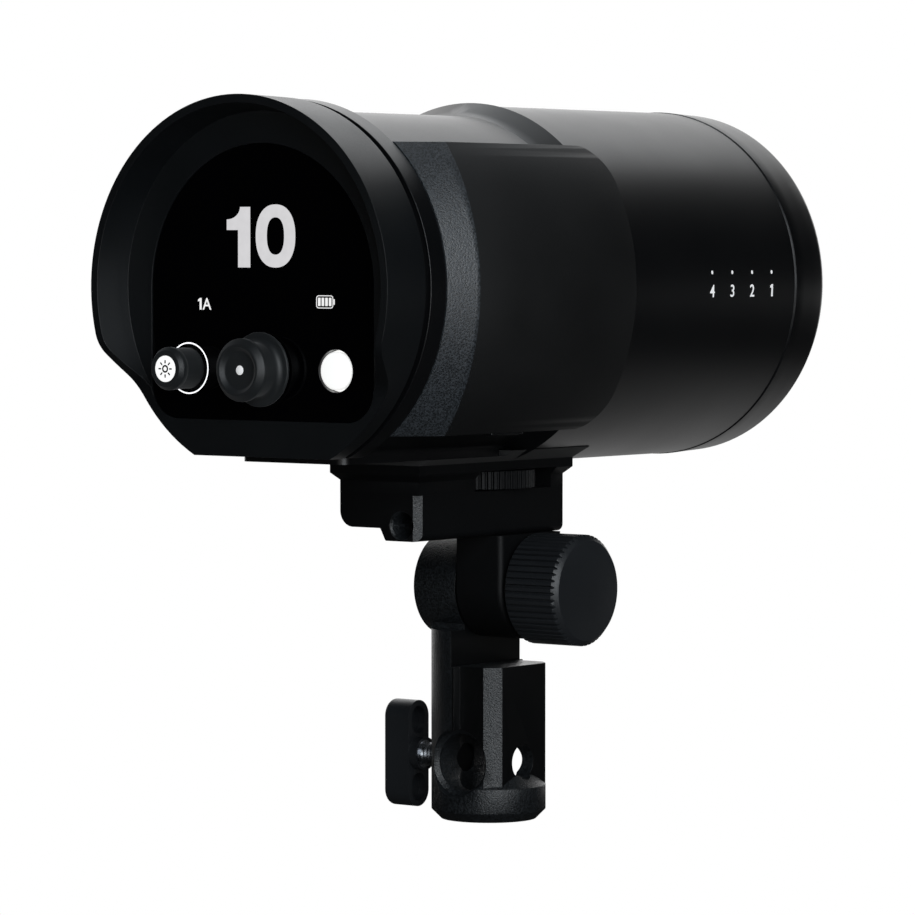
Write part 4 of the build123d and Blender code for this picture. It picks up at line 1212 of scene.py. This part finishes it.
    def sun_sign(self) -> Shape:
        """A sun: a ring and eight short rays at every eighth of a turn, the same bar turned by k pi / 4.

        Returns:
            Its points and faces.
        """
        parts = [band(ellipse(1.05, 1.05, steps=40), ellipse(0.58, 0.58, steps=40), self.film)]
        for k in range(8):
            ray, faces = slab(rounded(0.46, 0.2, 0.1, 3) + [self.ray_at, 0], self.film)
            turn = k * pi / 4
            across = ray[:, 0] * cos(turn) - ray[:, 1] * sin(turn)
            up = ray[:, 0] * sin(turn) + ray[:, 1] * cos(turn)
            parts.append((np.column_stack([across, up, ray[:, 2]]), faces))
        return joined(parts)

    def button(self) -> None:
        """The test button, with a slightly domed face.

        The dome is a parabola: x = face + d (s / r)^2 for s from 0 to the radius r less its round w, then a
        quarter circle down to the button's side. Behind the window the button is its full width.
        """
        body = span("test_button")
        full, face, end = body.size[2] / 2, body.low[0], body.high[0]
        r, w = full - self.button_step, self.button_round
        s = np.linspace(0, r - w, 10)
        t = np.linspace(0, pi / 2, 6)[1:]
        dome = np.column_stack([face + self.button_dome * (s / r) ** 2, s])
        corner = np.column_stack([dome[-1, 0] + w - w * np.cos(t), r - w + w * np.sin(t)])
        skirt = span("control_carrier").low[0] + self.button_skirt
        step, stem = span("display_glass").high[0], self.button_stem
        back = np.array([[step, r], [step, full], [skirt, full], [skirt, stem], [end, stem], [end, 0]])
        profile = np.concatenate([dome, corner, back])
        piece = place("test_button_skin", *turned(profile, tuple(body.middle[1:]), 72), BUTTON_PC, "button")
        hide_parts("test_button")


@dataclass
class LampEnd:
    """The front tube with its scale, the front ring, and the lamp behind its glass."""

    mark_pitch: float = 10.0
    first_mark: float = 38.0
    dot_rise: float = 3.55
    figure_drop: float = 1.65
    figure_h: float = 3.5
    dot_w: float = 0.85
    film: float = 0.09
    figure_squeeze: float = 0.95

    def build(self) -> None:
        """Builds the lamp end."""
        tube = softened("front_tube", TUBE_ABS, 0.0)
        round_off(tube, span("front_tube").middle)
        softened("front_ring", RING_ABS, 0.3, 3)
        softened("front_glass", FRONT_GLASS, 0.3)
        softened("reflector", MIRROR_ALUMINIUM, 0.0)
        softened("flash_tube", FLASH_QUARTZ, 0.0)
        softened("led_module", LED_PHOSPHOR, 0.1)
        softened("lamp_base", BARE_ALUMINIUM, 0.2)
        self.scale()

    def scale(self) -> None:
        """The printed scale on the right side: a dot over each of the figures 4, 3, 2 and 1."""
        parts = []
        for k, text in enumerate("4321"):
            x = self.first_mark + k * self.mark_pitch
            figure = small_one if text == "1" else partial(lettering, text)
            points, faces = figure(self.figure_h, self.film)
            points[:, 0] *= self.figure_squeeze
            parts.append(self.wrap(points + [x, -self.figure_drop, 0], faces))
            points, faces = slab(ellipse(self.dot_w / 2, self.dot_w * 0.62, steps=20), self.film)
            parts.append(self.wrap(points + [x, self.dot_rise, 0], faces))
        place("tube_scale", *joined(parts), INK_WHITE, "head")

    def wrap(self, points: np.ndarray, faces: list) -> Shape:
        """Lays a flat plate on the tube's right side: its height v becomes the angle v / R above level.

        Args:
            points: the plate's points.
            faces: its faces.

        Returns:
            Its points and faces.
        """
        tube = span("front_tube")
        radius = tube.size[1] / 2
        angle, out = points[:, 1] / radius, radius - 0.01 + points[:, 2]
        y, z = -out * np.cos(angle), tube.middle[2] + out * np.sin(angle)
        return np.column_stack([points[:, 0], y, z]), faces


@dataclass
class InnerParts:
    """What the shells hide: display, boards, capacitors, transformer, fan and heat sink."""

    def build(self) -> None:
        """Dresses the hidden nodes, which keep their own mesh."""
        dress(PARTS_PLASTIC, "display_module", "control_carrier", "rotary_encoders", "button_switch",
              "capacitor_cradle", "bulkhead", "fan_frame", "fan_rotor", "transformer")
        dress(CIRCUIT_BOARD, "control_board", "power_board")
        dress(SLEEVE_PVC, "flash_capacitors")
        dress(BARE_ALUMINIUM, "heat_sink")


# ---- studio
@dataclass
class Studio:
    """A pale floor that runs up into a backdrop, soft lights and the camera."""

    eye: Point = (-1.040387, -0.786046, 0.1610015)
    heading: float = 37.4567
    pitch: float = -2.6095
    lens: float = 182.68
    aim: Point = (0.0, 0.0, 0.13)
    floor_reach: float = 3.0
    sweep: float = 0.8
    wall_h: float = 3.4
    wall_glow: float = 1.42
    near_glow: float = 0.45
    far_glow: float = 0.015
    box_glow: float = 2.5
    side_glow: float = 0.35
    room_glow: float = 0.005
    paper_bounce: float = 0.18
    rise: Range = (0.42, 1.6)
    side_fade: Range = (1.6, 3.0)
    strip_side: Range = (0.12, 0.36)
    strip_start: Range = (0.06, 0.18)
    patch_start: Range = (-0.4, -1.1)
    patch_side: Range = (0.5, 1.1)

    def build(self) -> None:
        """Builds the floor, the lights, the world and the camera."""
        self.backdrop()
        self.lights()
        self.world()
        self.camera()

    def backdrop(self) -> None:
        """A floor and wall in one sheet, carried along a line.

        Its section runs along the camera's heading: level at 0, then R - R cos t, then straight up.
        """
        t = np.linspace(0, pi / 2, 24)
        r = self.sweep
        section = np.concatenate([
            [[-self.floor_reach, 0]],
            np.column_stack([self.floor_reach - r + r * np.sin(t), r - r * np.cos(t)]),
            [[self.floor_reach, self.wall_h]]])
        a = radians(self.heading)
        side = np.linspace(-self.floor_reach, self.floor_reach, 5)[None, :]
        u, z = section[:, :1], section[:, 1:]
        points = np.stack([u * cos(a) + side * sin(a), u * sin(a) - side * cos(a), z + 0 * side], -1)
        mesh = bpy.data.meshes.new("studio_sheet")
        faces = grid_faces(len(section), side.size, False, False).tolist()
        mesh.from_pydata(points.reshape(-1, 3).tolist(), [], faces)
        mesh.shade_smooth()
        mesh.materials.append(self.paper())
        sheet = linked("studio_sheet", mesh)

    def paper(self) -> bpy.types.Material:
        """White paper that the camera sees as plain white, with a glow of its own for reflections.

        The glow rises along the heading, from the floor to the wall, and falls off to both sides. It has a
        dim strip behind the object and a bright patch beside the camera. Matt surfaces get the bounce.

        Returns:
            The paper's material.
        """
        material, nodes = blank("studio_paper")
        path = nodes.add("LightPath")
        a = radians(self.heading)
        ahead, aside = (nodes.add("VectorMath", {0: nodes.where, 1: way}, operation="DOT_PRODUCT").outputs[1]
                        for way in ((cos(a), sin(a), 0), (sin(a), -cos(a), 0)))
        side = nodes.maths("ABSOLUTE", aside)
        smooth = {"interpolation_type": "SMOOTHSTEP"}
        wall = nodes.ranged(ahead, self.rise, (self.far_glow, self.wall_glow), **smooth)
        fade = nodes.ranged(side, self.side_fade, (1.0, self.side_glow))
        strip = nodes.ranged(side, self.strip_side, (self.near_glow, 0.0), **smooth)
        pool = nodes.maths("MULTIPLY", strip, nodes.ranged(ahead, self.strip_start))
        patch = nodes.ranged(ahead, self.patch_start, (0.0, self.box_glow))
        narrow = nodes.ranged(side, self.patch_side, (1.0, 0.0))
        for first, second in ((patch, narrow), (wall, fade)):
            pool = nodes.maths("MULTIPLY_ADD", first, second, pool)
        lit = nodes.between(path.outputs["Is Glossy Ray"], self.paper_bounce, pool)
        light, white = (nodes.add("Emission", {"Color": linear("#ffffff"), "Strength": strength})
                        for strength in (lit, 1.0))
        nodes.end(nodes.add("MixShader", {
            0: path.outputs["Is Camera Ray"], 1: light.outputs[0], 2: white.outputs[0]}))
        return material

    def lights(self) -> None:
        """A large box above the object and a tall one beside the camera, on its right."""
        self.softbox("overhead", (0.55, 0.2, 1.3), (1.2, 1.2), 6.0, "#f6fbff")
        self.softbox("camera_side", (-0.93, -1.22, 0.52), (1.0, 1.25), 19.0, "#f4faff")

    def softbox(self, name: str, at: Point, size: Range, power: float, tint: str) -> None:
        """A rectangular light aimed at the object.

        Args:
            name: the light's name.
            at: where it stands, in metres.
            size: its width and height in metres.
            power: its power in watts.
            tint: its colour.
        """
        lamp = bpy.data.lights.new(name, "AREA")
        lamp.shape = "RECTANGLE"
        lamp.size, lamp.size_y = size
        lamp.energy = power
        lamp.color = linear(tint)[:3]
        holder = linked(name, lamp)
        holder.location = at
        holder.rotation_euler = (Vector(self.aim) - Vector(at)).to_track_quat("-Z", "Y").to_euler()

    def world(self) -> None:
        """A dark room that looks white past the sheet's edges."""
        world = bpy.data.worlds.new("studio_room")
        world.use_nodes = True
        nodes = Nodes(world.node_tree)
        level = nodes.between(nodes.add("LightPath").outputs["Is Camera Ray"], self.room_glow, 1.0)
        nodes.end(nodes.add("Background", {"Color": linear("#ffffff"), "Strength": level}), "OutputWorld")
        bpy.context.scene.world = world
        bpy.context.scene.view_settings.view_transform = "Standard"

    def camera(self) -> None:
        """The camera: behind the head on its right, looking slightly down."""
        lens = bpy.data.cameras.new("view")
        lens.lens = self.lens
        lens.sensor_width = 36.0
        lens.clip_start = 0.01
        holder = linked("view", lens)
        a, b = radians(self.heading), radians(self.pitch)
        ahead = Vector((cos(a) * cos(b), sin(a) * cos(b), sin(b)))
        holder.location = self.eye
        holder.rotation_euler = ahead.to_track_quat("-Z", "Y").to_euler()
        bpy.context.scene.camera = holder


def main() -> None:
    """Builds the studio and every sub-assembly in order."""
    logging.basicConfig(level=logging.INFO, format="%(name)s: %(message)s")
    for part in (Studio(), StandMount(), HeadAdapter(), Shells(), SidePanels(), ControlFace(), LampEnd(),
                 InnerParts()):
        log.info("building %s", type(part).__name__)
        part.build()
    bpy.context.view_layer.update()


if __name__ == "__main__":
    main()
